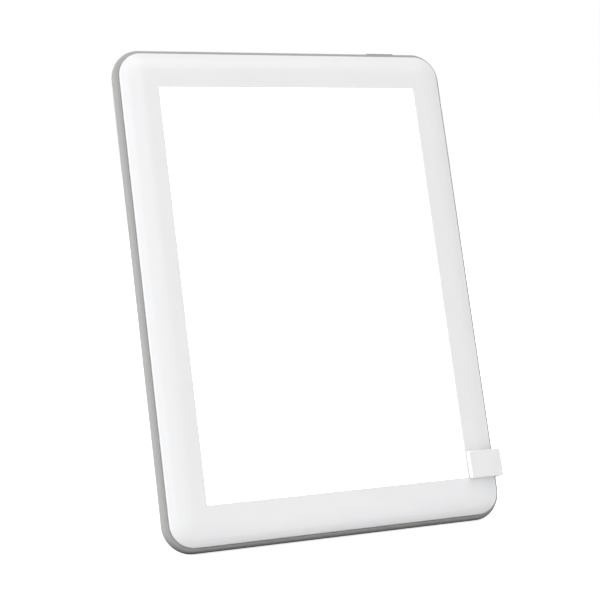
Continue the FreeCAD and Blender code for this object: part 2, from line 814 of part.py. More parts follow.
def sheet_piece(name, width, height, front, thickness):
    """A flat rectangular plate of the stack, square at its corners."""
    body = new_body(name)
    sketch = facing_sketch(body, name + "Outline", front)
    rectangle(sketch, "-" + width + " / 2", "-" + height + " / 2", width + " / 2", height + " / 2")
    pad(body, sketch, thickness, towards_normal=False)
    return body


def backing_tray():
    """Folded aluminium tray: a floor and four flanges, clamped by the foam strips."""
    flange_front = "diffuser_thickness + tray_front_gap"
    flange_depth = "tray_back - diffuser_thickness - tray_front_gap"
    pieces = [block("TrayFloor", "-tray_width / 2", "tray_front", "-tray_height / 2",
                    "tray_width", "tray_thickness", "tray_height")]
    for name, x in (("Right", "tray_width / 2 - tray_thickness"), ("Left", "-tray_width / 2")):
        pieces.append(block(name + "Flange", x, flange_front, "-tray_height / 2",
                            "tray_thickness", flange_depth, "tray_height"))
    for name, z in (("Top", "tray_height / 2 - tray_thickness"), ("Bottom", "-tray_height / 2")):
        pieces.append(block(name + "Flange", "-guide_width / 2", flange_front, z,
                            "guide_width", flange_depth, "tray_thickness"))
    return fused("BackingTray", pieces)


def led_strip(side, name):
    """A narrow board that stands on edge along one long side of the guide."""
    low = "strip_face" if side > 0 else "-strip_back"
    return grouped(name, [block(name + "Board", low, "diffuser_thickness + strip_front_gap",
                                "-guide_height / 2", "strip_thickness", "strip_width",
                                "guide_height + strip_tail")])


def led_row(side, name):
    """One LED on the strip's inner face, repeated up the guide's edge."""
    body = new_body(name)
    sketch = new_sketch(body, name + "Outline", "XY_Plane", "led_length / 2 - guide_height / 2")
    near = "led_face" if side > 0 else "-strip_face"
    far = "strip_face" if side > 0 else "-led_face"
    rectangle(sketch, near, "led_middle_depth - led_height / 2",
              far, "led_middle_depth + led_height / 2")
    first = pad(body, sketch, "led_length")
    row = body.newObject("PartDesign::LinearPattern", name + "Row")
    row.Originals = [first]
    upward = [f for f in body.Origin.OriginFeatures if f.Role == "Z_Axis"][0]
    row.Direction = (upward, [""])
    bind(row, "Length", "led_pitch * (led_count - 1)")
    bind(row, "Occurrences", "led_count")
    body.Tip = row
    doc.recompute()
    return body


def foam_strips():
    """Two strips that the cover's outer ribs press against the tray."""
    strips = [block("Foam%d" % index, x + " - foam_width / 2", "tray_back",
                    "rib_bottom + foam_end", "foam_width", "rib_depth - tray_back",
                    "rib_top - rib_bottom - 2 * foam_end")
              for index, x in enumerate(("-rib_pitch", "rib_pitch"))]
    return grouped("FoamStrips", strips)


# ---------------------------------------------------------------- control board

def control_board():
    """L-shaped circuit board with a tab for the switch and a low end for the inlet."""
    body = new_body("ControlBoard")
    sketch = facing_sketch(body, "BoardOutline", "board_front")
    polygon(sketch, (("board_left", "board_bottom"), ("board_right", "board_bottom"),
                     ("board_right", "board_jack_top"), ("board_tab_right", "board_jack_top"),
                     ("board_tab_right", "switch_top"), ("board_tab_left", "switch_top"),
                     ("board_tab_left", "board_main_top"), ("board_left", "board_main_top")))
    pad(body, sketch, "board_thickness", towards_normal=False)
    holes = facing_sketch(body, "BoardHoles", "board_front")
    for index, (x, z) in enumerate(board_screw_spots()):
        hole_circle(holes, x, z, "board_screw_hole", "hole%d" % index)
    pocket(body, holes, "board_thickness")
    return body


def driver_chip():
    return grouped("DriverChip", [block("Chip", "chip_x", "board_back", "chip_z", "chip_width",
                                        "chip_thickness", "chip_height")])


def inductor():
    """Shielded inductor, a square block."""
    return grouped("Inductor", [block("InductorBlock", "inductor_x", "board_back", "inductor_z",
                                      "inductor_width", "inductor_thickness",
                                      "inductor_width")])


def capacitors():
    count = int(value("capacitor_count"))
    parts = [block("Capacitor%d" % index, "capacitor_x", "board_back",
                   "capacitor_z + %d * capacitor_pitch" % index, "capacitor_width",
                   "capacitor_thickness", "capacitor_height") for index in range(count)]
    return grouped("Capacitors", parts)


def lead_connectors():
    """Two headers on the front of the board, above the tray's top edge."""
    parts = [block(name, x, "board_front - connector_thickness", "lead_z - connector_height / 2",
                   "connector_length", "connector_thickness", "connector_height")
             for name, x in (("LeftHeader", "left_header_x"),
                             ("RightHeader", "right_header_x"))]
    return grouped("LeadConnectors", parts)


def bent_path(points):
    """Straight runs through a list of points, joined by arcs over a share of each run."""
    edges = []
    start = points[0]
    for before, corner, after in zip(points, points[1:], points[2:]):
        back = before - corner
        onward = after - corner
        turn = math.pi - back.getAngle(onward)
        length = BEND_SHARE * min(back.Length, onward.Length)
        back.normalize()
        onward.normalize()
        first = corner + back * length
        last = corner + onward * length
        inward = back + onward
        inward.normalize()
        radius = length / math.tan(turn / 2)
        middle = corner + inward * (radius / math.cos(turn / 2) - radius)
        edges.append(Part.LineSegment(start, first).toShape())
        edges.append(Part.Arc(first, middle, last).toShape())
        start = last
    edges.append(Part.LineSegment(start, points[-1]).toShape())
    return Part.Wire(edges)


def lead(name, side, header):
    """Flat two-core lead: from a strip's tail along the tray's top edge, then to its header.

    The left lead enters its header from the left, the right one from the right."""
    depth = value("lead_front_depth")
    far_depth = value("board_front - connector_thickness / 2")
    z = value("lead_z")
    mouth = value(header) if side < 0 else value(header + " + connector_length")
    step = side * value("lead_step_run")
    route = [Vector(side * value("strip_face"), depth, z), Vector(mouth + 2 * step, depth, z),
             Vector(mouth + step, far_depth, z), Vector(mouth, far_depth, z)]
    path = bent_path(route)
    rise = Z_AXIS * (value("lead_width") / 2)
    deep = Y_AXIS * (value("lead_thickness") / 2)
    start = route[0]
    section = Part.makePolygon([start - rise - deep, start - rise + deep, start + rise + deep,
                                start + rise - deep, start - rise - deep])
    item = doc.addObject("Part::Feature", name)
    item.Shape = path.makePipeShell([section], True, True)
    return item


# ---------------------------------------------------------------- power button and switch

def power_button():
    """Rounded cap with two retaining wings and a stem that meets the plunger."""
    body = new_body("PowerButton")
    wings = new_sketch(body, "ButtonWings", "XY_Plane", "button_base")
    rectangle(wings, "-(button_length / 2 + button_wing)", "-button_width / 2",
              "button_length / 2 + button_wing", "button_width / 2")
    pad(body, wings, "button_wing_height")
    cap = new_sketch(body, "ButtonCap", "XY_Plane", "button_base")
    rounded_rectangle(cap, "button_length", "button_width", "button_corner")
    pad(body, cap, "button_cap_height + button_wing_height")
    bevel_edges(body, at_height("button_top"), "button_bevel")
    stem = new_sketch(body, "ButtonStem", "XY_Plane", "button_base")
    rectangle(stem, "-button_stem_width / 2", "-button_stem_thickness / 2",
              "button_stem_width / 2", "button_stem_thickness / 2")
    pad(body, stem, "button_stem_height", towards_normal=False)
    return body


def plunger_block(name, gap, bottom, height):
    """The plunger's outline, with a gap all round it, from a height on the face up."""
    return block(name, "button_x - plunger_width / 2 - " + gap,
                 "button_depth - plunger_thickness / 2 - " + gap, bottom,
                 "plunger_width + 2 * " + gap, "plunger_thickness + 2 * " + gap, height)


def tact_switch():
    """Side-push switch on the board's tab, with a hole for its plunger."""
    housing = block("SwitchHousing", "button_x - switch_width / 2",
                    "board_front - switch_thickness", "switch_top - switch_height",
                    "switch_width", "switch_thickness", "switch_height")
    hole = plunger_block("PlungerHole", "plunger_gap",
                         "switch_top - plunger_depth - button_travel - plunger_gap",
                         "switch_height")
    return cut_away("TactSwitch", housing, hole)


def switch_plunger():
    return grouped("SwitchPlunger", [plunger_block("Plunger", "0", "switch_top - plunger_depth",
                                                   "plunger_depth + plunger_rise")])


# ---------------------------------------------------------------- power inlet

def power_jack():
    """Low-profile inlet: a block on the board and a round nose through the cover's side."""
    housing = block("JackHousing", "jack_body_end - jack_length",
                    "board_front - jack_height", "jack_z - jack_width / 2",
                    "jack_length", "jack_height", "jack_width")
    nose = rod("JackNose", X_AXIS, "jack_body_end - jack_nose_root", "jack_middle_depth",
               "jack_z", "jack_nose", "jack_face - jack_body_end + jack_nose_root")
    bore = rod("JackBore", X_AXIS, "jack_face - jack_bore_depth", "jack_middle_depth", "jack_z",
               "jack_bore", "2 * jack_bore_depth")
    return cut_away("PowerJack", fused("JackMoulding", [housing, nose]), bore)


def jack_pin():
    return grouped("JackPin", [rod("CentrePin", X_AXIS, "jack_face - jack_bore_depth",
                                   "jack_middle_depth", "jack_z", "jack_pin_diameter",
                                   "jack_bore_depth - jack_pin_recess")])


# ---------------------------------------------------------------- screws

def case_screws():
    """Pan-head screws that go in from the back, through the cover into the bezel."""
    screws = []
    for index, (x, z) in enumerate(case_screw_spots()):
        name = "CaseScrew%d" % index
        top = rod(name + "Head", Y_AXIS, x, "screw_seat", z, "screw_head", "screw_head_height")
        tail = rod(name + "Shank", Y_AXIS, x, "screw_tip", z, "screw_shank", "screw_reach")
        screws.append(fused(name, [top, tail]))
    return grouped("CaseScrews", screws)


def board_screws():
    """Screws that go in from the front of the board, so each is drawn the other way round."""
    screws = []
    for index, (x, z) in enumerate(board_screw_spots()):
        name = "BoardScrew%d" % index
        top = rod(name + "Head", Y_AXIS, x, "board_front - board_screw_head_height", z,
                  "board_screw_head", "board_screw_head_height")
        tail = rod(name + "Shank", Y_AXIS, x, "board_front", z, "board_screw_shank",
                   "board_screw_reach")
        screws.append(fused(name, [top, tail]))
    return grouped("BoardScrews", screws)


# ---------------------------------------------------------------- feet

def foot(name, length, width, thickness):
    """A silicone strip that lies on the table."""
    body = new_body(name)
    sketch = new_sketch(body, name + "Outline", "XY_Plane")
    rounded_rectangle(sketch, length, width, "foot_corner")
    pad(body, sketch, thickness)
    return body


# ---------------------------------------------------------------- stand

def hook_band():
    """One band of constant section: front lip, side, and the arm behind the lamp."""
    body = new_body("HookBand")
    sketch = new_sketch(body, "BandOutline", "XY_Plane", "hook_bottom")
    corners = (("lip_end_x", "hook_inner_front"), ("lip_end_x", "hook_front"),
               ("hook_outer_x", "hook_front"), ("hook_outer_x", "arm_back"),
               ("0", "arm_back"), ("0", "arm_front"), ("hook_inner_x", "arm_front"),
               ("hook_inner_x", "hook_inner_front"))
    polygon(sketch, corners)
    pad(body, sketch, "hook_height")
    round_edges(body, upright_at("hook_outer_x"), "hook_round")
    round_edges(body, upright_at("hook_inner_x"), "hook_inner_round")
    bevel_edges(body, band_rim, "band_bevel")
    return body


def band_rim(spots):
    """A test for the long edges of the band, apart from its end inside the back plate."""
    level = (held_at(spots, "z", "hook_bottom + hook_height")
             or held_at(spots, "z", "hook_bottom"))
    return level and not held_at(spots, "x", "0")


def upright_at(x):
    """A test for the upright edges at one distance to the right."""
    return lambda spots: held_at(spots, "x", x) and straight_along(spots, "z")


def back_plate():
    """Plate behind the lamp that flares out of the arm and carries the leg."""
    body = new_body("BackPlate")
    sketch = facing_sketch(body, "PlateOutline", "arm_front")
    side = "plate_width / 2"
    far = "plate_width / 2 + plate_flare"
    polygon(sketch, (("-" + side, "plate_bottom_z"), (side, "plate_bottom_z"),
                     (far, "hook_bottom + plate_inset"),
                     (far, "hook_bottom + hook_height - plate_inset"),
                     (side, "plate_top_z"), ("-" + side, "plate_top_z")))
    pad(body, sketch, "hook_wall", towards_normal=False)
    round_edges(body, plate_corner, "plate_round")
    bevel_edges(body, at_depth("arm_back"), "band_bevel")
    return body


def plate_corner(spots):
    """A test for the plate's corner edges, apart from those where it meets the arm."""
    return straight_along(spots, "y") and abs(spots[0].x) < value("plate_width / 2 + hook_wall")


def gusset(name, x):
    """A side rib with a hollow curved edge, from high on the plate to far along the leg."""
    body = new_body(name)
    sketch = new_sketch(body, name + "Outline", "YZ_Plane", x)
    low = value("hook_z")
    near = value("arm_back - hook_wall / 2")
    top = Vector(value("arm_back"), value("hook_z + gusset_rise"), 0)
    tip = Vector(value("arm_back + gusset_length"), value("hook_z + leg_thickness / 2"), 0)
    radius = value("gusset_hollow")
    chord = tip - top
    away = Vector(-chord.y, chord.x, 0).normalize()
    centre = (top + tip) * 0.5 + away * math.sqrt(radius ** 2 - chord.Length ** 2 / 4)
    begin = math.atan2(top.y - centre.y, top.x - centre.x)
    finish = math.atan2(tip.y - centre.y, tip.x - centre.x)
    outline = (Vector(near, top.y, 0), Vector(near, low, 0), Vector(tip.x, low, 0), tip)
    for first, second in zip(outline, outline[1:]):
        sketch.addGeometry(Part.LineSegment(first, second))
    sketch.addGeometry(Part.ArcOfCircle(Part.Circle(centre, Z_AXIS, radius), begin, finish))
    sketch.addGeometry(Part.LineSegment(top, outline[0]))
    sketch.addConstraint(Sketcher.Constraint("Coincident", 0, 2, 1, 1))
    sketch.addConstraint(Sketcher.Constraint("Coincident", 1, 2, 2, 1))
    sketch.addConstraint(Sketcher.Constraint("Coincident", 2, 2, 3, 2))
    sketch.addConstraint(Sketcher.Constraint("Coincident", 3, 1, 4, 1))
    sketch.addConstraint(Sketcher.Constraint("Coincident", 4, 2, 0, 1))
    for index in (0, 2):
        sketch.addConstraint(Sketcher.Constraint("Vertical", index))
    for index in (1, 4):
        sketch.addConstraint(Sketcher.Constraint("Horizontal", index))
    place_point(sketch, 0, 2, "foot", "arm_back - hook_wall / 2", "hook_z")
    place_point(sketch, 2, 2, "tip", "arm_back + gusset_length", "hook_z + leg_thickness / 2")
    place_point(sketch, 4, 1, "top", "arm_back", "hook_z + gusset_rise")
    dimension(sketch, "Radius", (3,), "hollow", "gusset_hollow")
    pad(body, sketch, "gusset_thickness")
    return body


def pad_spots():
    """The grip pads: a name, a left end, a bottom, and the wall that each sits in."""
    middle = "(lip_end_x + pad_edge)"
    low = "hook_z - pad_height / 2"
    plate_low = "hook_z + plate_pad_rise - pad_height / 2"
    return (("LipPad", middle, low, True), ("ArmPad", middle, low, False),
            ("RightPlatePad", "plate_pad_x - pad_length / 2", plate_low, False),
            ("LeftPlatePad", "-plate_pad_x - pad_length / 2", plate_low, False))


def pad_blocks(prefix, extra):
    """The grip pads' boxes, stretched into the gap by an extra depth when they cut."""
    blocks = []
    for name, left, low, in_front in pad_spots():
        if in_front:
            front = "hook_inner_front + pad_proud - pad_thickness"
        else:
            front = "arm_front - pad_proud - " + extra
        blocks.append(block(prefix + name, left, front, low, "pad_length",
                            "pad_thickness + " + extra, "pad_height"))
    return blocks


def stand():
    """White moulded stand: hook, arm, back plate, leg with two gussets, and foot rail."""
    leg = block("Leg", "-leg_width / 2", "arm_back - hook_wall / 2", "hook_z - leg_thickness / 2",
                "leg_width", "rail_y - arm_back + hook_wall / 2", "leg_thickness")
    rail = rod("FootRail", X_AXIS, "-leg_width / 2", "rail_y", "hook_z", "2 * rail_radius",
               "leg_width")
    pieces = [hook_band(), back_plate(), leg, rail,
              gusset("RightGusset", "leg_width / 2 - gusset_thickness"),
              gusset("LeftGusset", "-leg_width / 2")]
    recess = level_block("StandFootRecess", "stand_foot_length + 2 * stand_foot_gap",
                         "rail_world_y - stand_foot_width / 2 - stand_foot_gap",
                         "stand_foot_width + 2 * stand_foot_gap", "-stand_foot_thickness",
                         "2 * stand_foot_thickness")
    return cut_away("Stand", fused("StandMoulding", pieces),
                    fused("StandCuts", pad_blocks("Seat", "hook_gap") + [recess]))


def grip_pads():
    return grouped("GripPads", pad_blocks("Grip", "0"))


# ---------------------------------------------------------------- the whole lamp

def export(node, item, placement):
    """Name a sub-part, put it in its place and keep it for writing."""
    item.Label = node
    item.Placement = placement.multiply(item.Placement)
    nodes.append(item)


nodes = []
level = FreeCAD.Placement()
export("front_bezel", front_bezel(), LEANING)
export("diffuser_panel",
       sheet_piece("DiffuserPanel", "panel_width", "panel_height", "0",
                   "diffuser_thickness"), LEANING)
export("prism_film",
       sheet_piece("PrismFilm", "guide_width", "guide_height", "diffuser_thickness",
                   "film_thickness"), LEANING)
export("light_guide",
       sheet_piece("LightGuide", "guide_width", "guide_height", "guide_front",
                   "guide_thickness"), LEANING)
export("reflector_sheet",
       sheet_piece("ReflectorSheet", "guide_width", "guide_height", "reflector_front",
                   "reflector_thickness"), LEANING)
export("backing_tray", backing_tray(), LEANING)
export("led_strip_right", led_strip(1, "RightStrip"), LEANING)
export("led_strip_left", led_strip(-1, "LeftStrip"), LEANING)
export("leds_right", led_row(1, "RightLeds"), LEANING)
export("leds_left", led_row(-1, "LeftLeds"), LEANING)
export("foam_strips", foam_strips(), LEANING)
export("rear_cover", rear_cover(), LEANING)
export("control_board", control_board(), LEANING)
export("driver_chip", driver_chip(), LEANING)
export("inductor", inductor(), LEANING)
export("capacitors", capacitors(), LEANING)
export("lead_connectors", lead_connectors(), LEANING)
export("lead_right", lead("RightLead", 1, "right_header_x"), LEANING)
export("lead_left", lead("LeftLead", -1, "left_header_x"), LEANING)
export("power_jack", power_jack(), LEANING)
export("jack_pin", jack_pin(), LEANING)
export("tact_switch", tact_switch(), LEANING)
export("switch_plunger", switch_plunger(), LEANING)
button_place = FreeCAD.Placement(Vector(value("button_x"), value("button_depth"), 0),
                                 FreeCAD.Rotation())
export("power_button", power_button(), LEANING.multiply(button_place))
export("case_screws", case_screws(), LEANING)
export("board_screws", board_screws(), LEANING)
export("base_foot", foot("BaseFoot", "foot_length", "foot_width", "foot_thickness"), level)
export("stand", stand(), LEANING)
export("grip_pads", grip_pads(), LEANING)
export("stand_foot", foot("StandFoot", "stand_foot_length", "stand_foot_width",
                          "stand_foot_thickness"),
       FreeCAD.Placement(Vector(0, value("rail_world_y"), 0), FreeCAD.Rotation()))
doc.recompute()

for item in doc.Objects:
    if "Invalid" in item.State or "Error" in item.State:
        raise RuntimeError("%s failed: %s" % (item.Name, item.State))
for item in nodes:
    if item.Shape.isNull() or not item.Shape.isValid() or not item.Shape.Solids:
        raise RuntimeError("%s has no valid solid" % item.Label)
for item in nodes:
    item.Shape.exportStep("parts/%s.step" % item.Label)
    print("%-16s solids %2d volume %10.1f" % (item.Label, len(item.Shape.Solids),
                                              item.Shape.Volume))
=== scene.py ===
"""Light therapy lamp: a lit tablet in a white bezel and a grey shell, on a clip-on stand.

The pieces are modelled upright, in millimetres from the middle of the window, and are then leaned
back onto the table, the plane z = 0. The foot strips and their recesses are made in place."""

import math

import bmesh
import bpy
from mathutils import Euler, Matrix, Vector


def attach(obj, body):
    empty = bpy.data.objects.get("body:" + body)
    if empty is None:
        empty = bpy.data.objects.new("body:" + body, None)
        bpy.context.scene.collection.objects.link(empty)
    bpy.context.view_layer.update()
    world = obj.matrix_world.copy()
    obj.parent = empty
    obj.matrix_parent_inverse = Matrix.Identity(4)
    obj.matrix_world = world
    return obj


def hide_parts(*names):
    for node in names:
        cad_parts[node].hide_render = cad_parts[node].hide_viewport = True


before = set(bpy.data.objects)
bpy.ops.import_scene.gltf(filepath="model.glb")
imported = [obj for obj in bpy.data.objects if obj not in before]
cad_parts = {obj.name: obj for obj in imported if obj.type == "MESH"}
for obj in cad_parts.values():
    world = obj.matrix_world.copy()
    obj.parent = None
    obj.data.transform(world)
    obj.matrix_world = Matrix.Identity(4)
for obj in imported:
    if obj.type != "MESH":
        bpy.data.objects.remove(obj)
bpy.ops.object.select_all(action="DESELECT")
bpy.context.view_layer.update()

MM = 0.001
SAME_POINT = 0.002 * MM
SMOOTH_ANGLE = math.radians(35.0)

# Edges and faces are picked to within this many millimetres and this cosine.
CLOSE = 1e-3
FACING = 0.99


# ---------------------------------------------------------------- camera

CAMERA_PLACE = (-0.293841, -0.622657, 0.189769)
CAMERA_TURN = (math.radians(83.105), 0.0, math.radians(-23.921))
CAMERA_LENS = 94.201
CAMERA_SENSOR = 36.0

bpy.ops.object.camera_add(location=CAMERA_PLACE, rotation=CAMERA_TURN)
camera = bpy.context.object
camera.name = "studio_camera"
camera.data.lens = CAMERA_LENS
camera.data.sensor_width = CAMERA_SENSOR
camera.data.clip_start = 0.05
bpy.context.scene.camera = camera


# ---------------------------------------------------------------- sizes, in millimetres

# The spare by which cutting tools and joined pieces reach past the face that they meet
PAST = 1.0

WINDOW = (128.0, 187.2)
WINDOW_ROUND = 0.2
PANEL_POCKET = (136.6, 195.8)

BEZEL = (160.8, 222.0)
BEZEL_CORNER = 10.9
BEZEL_FRONT = -1.0
BEZEL_WALL = 1.8
BEZEL_INNER_BEVEL = 5.2
CROWN_ROLL = 10.5
CROWN_END = 3.9
CROWN_EDGE = 1.0
SKIRT_BACK = 6.0
SKIRT_WALL = 1.6
NOTCH = (4.7, SKIRT_BACK + 2 * PAST)
BUTTON_NOTCH_SIDE = 0.8
BUTTON_NOTCH_RISE = (107.8, 112.6)
INLET_NOTCH_SPAN = (77.2, 82.0)
INLET_NOTCH_HALF = 3.8

BODY = (165.4, 226.6)
BODY_CORNER = 13.2
SHELL_FRONT = 4.4
SHELL_BACK = 14.8
SHELL_FRONT_ROUND = 3.0
SHELL_BACK_ROUND = 7.0
CAVITY = (161.2, 222.4)
CAVITY_CORNER = 11.1
CAVITY_FRONT = 1.5
CAVITY_BACK = 12.8
CAVITY_BEVEL = 3.0
RIB_FRONT = 8.5
RIB_HALF = 0.6
RIB_PITCH = 50.0
UPRIGHT_RIB_SPAN = (-98.3, 76.3)
CROSS_RIB_MIDDLE = -20.3
CROSS_RIB_REACH = 69.3

BOSSES = [(x, z) for x in (72.0, -72.0) for z in (102.0, -102.0)]
BOSS_DIAMETER = 5.5
BOSS_ROOT = 0.2
BOSS_JOINT = 8.0
SHELL_BOSS_DIAMETER = 6.4
PILOT_DIAMETER = 2.5
PILOT_SPARE = 0.4
SCREW_HOLE_DIAMETER = 2.6
SCREW_RECESS_DIAMETER = 5.2
SCREW_SEAT = 12.4
SCREW_TIP = 3.4
SCREW_HEAD_DIAMETER = 4.8
SCREW_HEAD_HEIGHT = 1.6
SCREW_HEAD_ROUND = 0.7
SHANK_DIAMETER = 2.4
SHANK_ROOT = 0.4
CROSS_LENGTH = 2.6
CROSS_WIDTH = 0.55
CROSS_DEPTH = 0.9
BOARD_BOSSES = [(27.2, 84.3), (59.6, 97.2)]
BOARD_BOSS_DIAMETER = 5.0
BOARD_PILOT_DIAMETER = 1.9
BOARD_BACK = 10.6

BUTTON_X = 52.6
BUTTON_Y = 7.65
BUTTON_SIZE = (15.4, 4.0)
BUTTON_CORNER = 1.6
BUTTON_EDGE = 0.5
BUTTON_GAP = 0.3
BUTTON_TOP = 113.4
BUTTON_BASE = 108.8
BUTTON_WING = 0.95
BUTTON_WING_HEIGHT = 1.2
BUTTON_STEM = (4.0, 3.0)
BUTTON_STEM_HEIGHT = 0.8
BUTTON_STEM_ROOT = 0.4
BUTTON_SLOT_RISE = (105.2, 115.2)

INLET_Y = 7.2
INLET_Z = 87.3
INLET_BODY = (70.4, 79.4)
INLET_HALF = (2.2, 3.0)
INLET_EDGE = 0.4
INLET_FACE = 81.7
INLET_HOLE_DIAMETER = 4.8
INLET_HOLE_END = 86.0
NOSE_DIAMETER = 4.4
NOSE_EDGE = 0.15
BORE_DIAMETER = 3.6
BORE_DEPTH = 9.0
BORE_TOOL_END = 90.0
CONTACT_DIAMETER = 1.3
CONTACT_TIP = 0.4
CONTACT_DEPTH = 1.0

KEYHOLE_X = 40.0
KEYHOLE_Z = 48.3
KEYHOLE_ENTRY = 8.4
KEYHOLE_SLOT = 4.0
KEYHOLE_RISE = 8.0

FOOT_WIDTH = 6.0
FOOT_CORNER = 1.0
FOOT_ROUND = 0.2
FOOT_PROUD = 0.25
FOOT_FRONT = -0.3
BASE_FOOT_LENGTH = 120.0
BASE_FOOT_THICKNESS = 1.2
STAND_FOOT_LENGTH = 26.0
STAND_FOOT_THICKNESS = 1.4
STAND_FOOT_GAP = 0.1
HEEL_MARGIN = 0.5
HEEL_RISE = (FOOT_PROUD, 3.6)

# The foot strip's middle on the upright lamp: leaned back, it comes to the table's origin.
LEAN = math.radians(18.0)
FOOT_DROP = SHELL_BACK_ROUND + FOOT_PROUD
FOOT_RUN = FOOT_FRONT + FOOT_WIDTH / 2
REST_Y = (SHELL_BACK - SHELL_BACK_ROUND + FOOT_DROP * math.sin(LEAN)
          + FOOT_RUN * math.cos(LEAN))
REST_Z = (SHELL_BACK_ROUND - BODY[1] / 2 - FOOT_DROP * math.cos(LEAN)
          + FOOT_RUN * math.sin(LEAN))
REST = Vector((0.0, REST_Y, REST_Z)) * MM

HOOK_Z = -88.2
HOOK_HEIGHT = 12.4
LIP_WALL = 2.8
SIDE_WALL = 1.5
HOOK_FRONT = -4.4
HOOK_INNER_FRONT = HOOK_FRONT + LIP_WALL
HOOK_INNER = 83.0
HOOK_OUTER = HOOK_INNER + SIDE_WALL
HOOK_ROUND = 9.0
HOOK_INNER_ROUND = 7.0
ARM_FRONT = 15.4
ARM_BACK = 18.8
ARM_MIDDLE = (ARM_FRONT + ARM_BACK) / 2
LIP_END = 64.4
LIP_END_ROUND = 0.4
BAND_ROUND = 0.6
PLATE_HALF = 26.0
PLATE_FAR = 50.0
PLATE_BELOW = 9.0
PLATE_ABOVE = 24.0
PLATE_LOW = HOOK_Z - PLATE_BELOW
PLATE_HIGH = HOOK_Z + PLATE_ABOVE
PLATE_INSET = 1.2
PLATE_ROUND = 7.0
LEG_HALF = 15.0
LEG_THICKNESS = 3.4
LEG_EDGE = 0.5
GUSSET_THICKNESS = 2.8
GUSSET_LENGTH = 40.0
GUSSET_RISE = 19.0
GUSSET_HOLLOW = 55.0
GUSSET_EDGE = 0.4
NEAR_CURVE = 0.02

# How far back the rail lies on the upright lamp, and the stand's foot once the lamp leans
RAIL_Y = 71.434
STAND_FOOT_Y = 63.4127
RAIL_RADIUS = 4.5

PAD = (9.0, 1.0, 8.0)
PAD_PROUD = 0.3
PAD_CORNER = 1.0
PAD_ROUND = 0.2
PAD_SEAT_SPARE = 0.6
LIP_PAD_INSET = 1.6
PLATE_PAD_X = 14.0
PLATE_PAD_RISE = 15.0


# ---------------------------------------------------------------- modelling by hand

def activate(piece):
    """Leave edit mode and make one piece the only selected one."""
    if bpy.context.object and bpy.context.object.mode != "OBJECT":
        bpy.ops.object.mode_set(mode="OBJECT")
    bpy.ops.object.select_all(action="DESELECT")
    piece.select_set(True)
    bpy.context.view_layer.objects.active = piece


def apply_place(piece):
    """Put the piece's place and turn into its mesh."""
    activate(piece)
    bpy.ops.object.transform_apply(location=True, rotation=True, scale=True)


def named(name):
    """Name the new piece and its mesh, with its place applied."""
    piece = bpy.context.object
    piece.name = name
    piece.data.name = name
    apply_place(piece)
    return piece


def about(middle, half):
    """The span from a half-length before a middle to a half-length past it."""
    return middle - half, middle + half


def box(name, x, y, z):
    """A block between a low and a high value on each axis."""
    bpy.ops.object.select_all(action="DESELECT")
    spans = (x, y, z)
    middle = [(low + high) / 2 * MM for low, high in spans]
    size = [(high - low) * MM for low, high in spans]
    bpy.ops.mesh.primitive_cube_add(size=1, location=middle, scale=size)
    return named(name)


def rod(name, axis, place, span, diameter, sides=48):
    """A round bar along X, Y or Z; place gives its middle on the other two axes."""
    bpy.ops.object.select_all(action="DESELECT")
    middle = list(place)
    middle.insert("XYZ".index(axis), (span[0] + span[1]) / 2)
    turn = {"X": (0, math.pi / 2, 0), "Y": (math.pi / 2, 0, 0), "Z": (0, 0, 0)}[axis]
    bpy.ops.mesh.primitive_cylinder_add(vertices=sides, radius=diameter / 2 * MM,
                                        depth=(span[1] - span[0]) * MM,
                                        location=[value * MM for value in middle], rotation=turn)
    return named(name)


def select_edges(piece, test):
    """Enter edit mode with only the edges selected whose two ends pass a test."""
    activate(piece)
    bpy.ops.object.mode_set(mode="EDIT")
    bpy.ops.mesh.select_mode(type="EDGE")
    bpy.ops.mesh.select_all(action="DESELECT")
    mesh = bmesh.from_edit_mesh(piece.data)
    for edge in mesh.edges:
        if test(edge.verts[0].co / MM, edge.verts[1].co / MM):
            edge.select_set(True)
    bmesh.update_edit_mesh(piece.data)


def select_faces(piece, test):
    """Enter edit mode with only the faces selected whose middle and normal pass a test."""
    activate(piece)
    bpy.ops.object.mode_set(mode="EDIT")
    bpy.ops.mesh.select_mode(type="FACE")
    bpy.ops.mesh.select_all(action="DESELECT")
    mesh = bmesh.from_edit_mesh(piece.data)
    for face in mesh.faces:
        if test(face.calc_center_median() / MM, face.normal):
            face.select_set(True)
    bmesh.update_edit_mesh(piece.data)


def bevel(piece, test, width, segments):
    """Round the edges that pass a test, with one segment for a flat chamfer."""
    select_edges(piece, test)
    bpy.ops.mesh.bevel(offset_type="OFFSET", offset=width * MM, segments=segments, profile=0.5,
                       affect="EDGES", clamp_overlap=False)
    bpy.ops.object.mode_set(mode="OBJECT")


def along(axis):
    """A test for edges that run along an axis."""
    index = "XYZ".index(axis)

    def test(a, b):
        step = b - a
        across = [abs(step[i]) for i in range(3) if i != index]
        return max(across) < CLOSE < abs(step[index])
    return test


def at(axis, level):
    """A test for edges that lie in a plane across an axis."""
    index = "XYZ".index(axis)
    return lambda a, b: abs(a[index] - level) < CLOSE and abs(b[index] - level) < CLOSE


def every(*tests):
    """A test for edges that pass all the tests given."""
    return lambda a, b: all(test(a, b) for test in tests)


def either(*tests):
    """A test for edges that pass at least one of the tests given."""
    return lambda a, b: any(test(a, b) for test in tests)


def grown(piece, test, step):
    """Extrude the faces that pass a test by a step in millimetres."""
    select_faces(piece, test)
    bpy.ops.mesh.extrude_region_move(
        TRANSFORM_OT_translate={"value": [value * MM for value in step]})
    bpy.ops.object.mode_set(mode="OBJECT")


def merged_flats(piece):
    """Join neighbouring faces that lie in one plane."""
    activate(piece)
    bpy.ops.object.mode_set(mode="EDIT")
    bpy.ops.mesh.select_all(action="SELECT")
    bpy.ops.mesh.dissolve_limited(angle_limit=math.radians(0.2))
    bpy.ops.object.mode_set(mode="OBJECT")


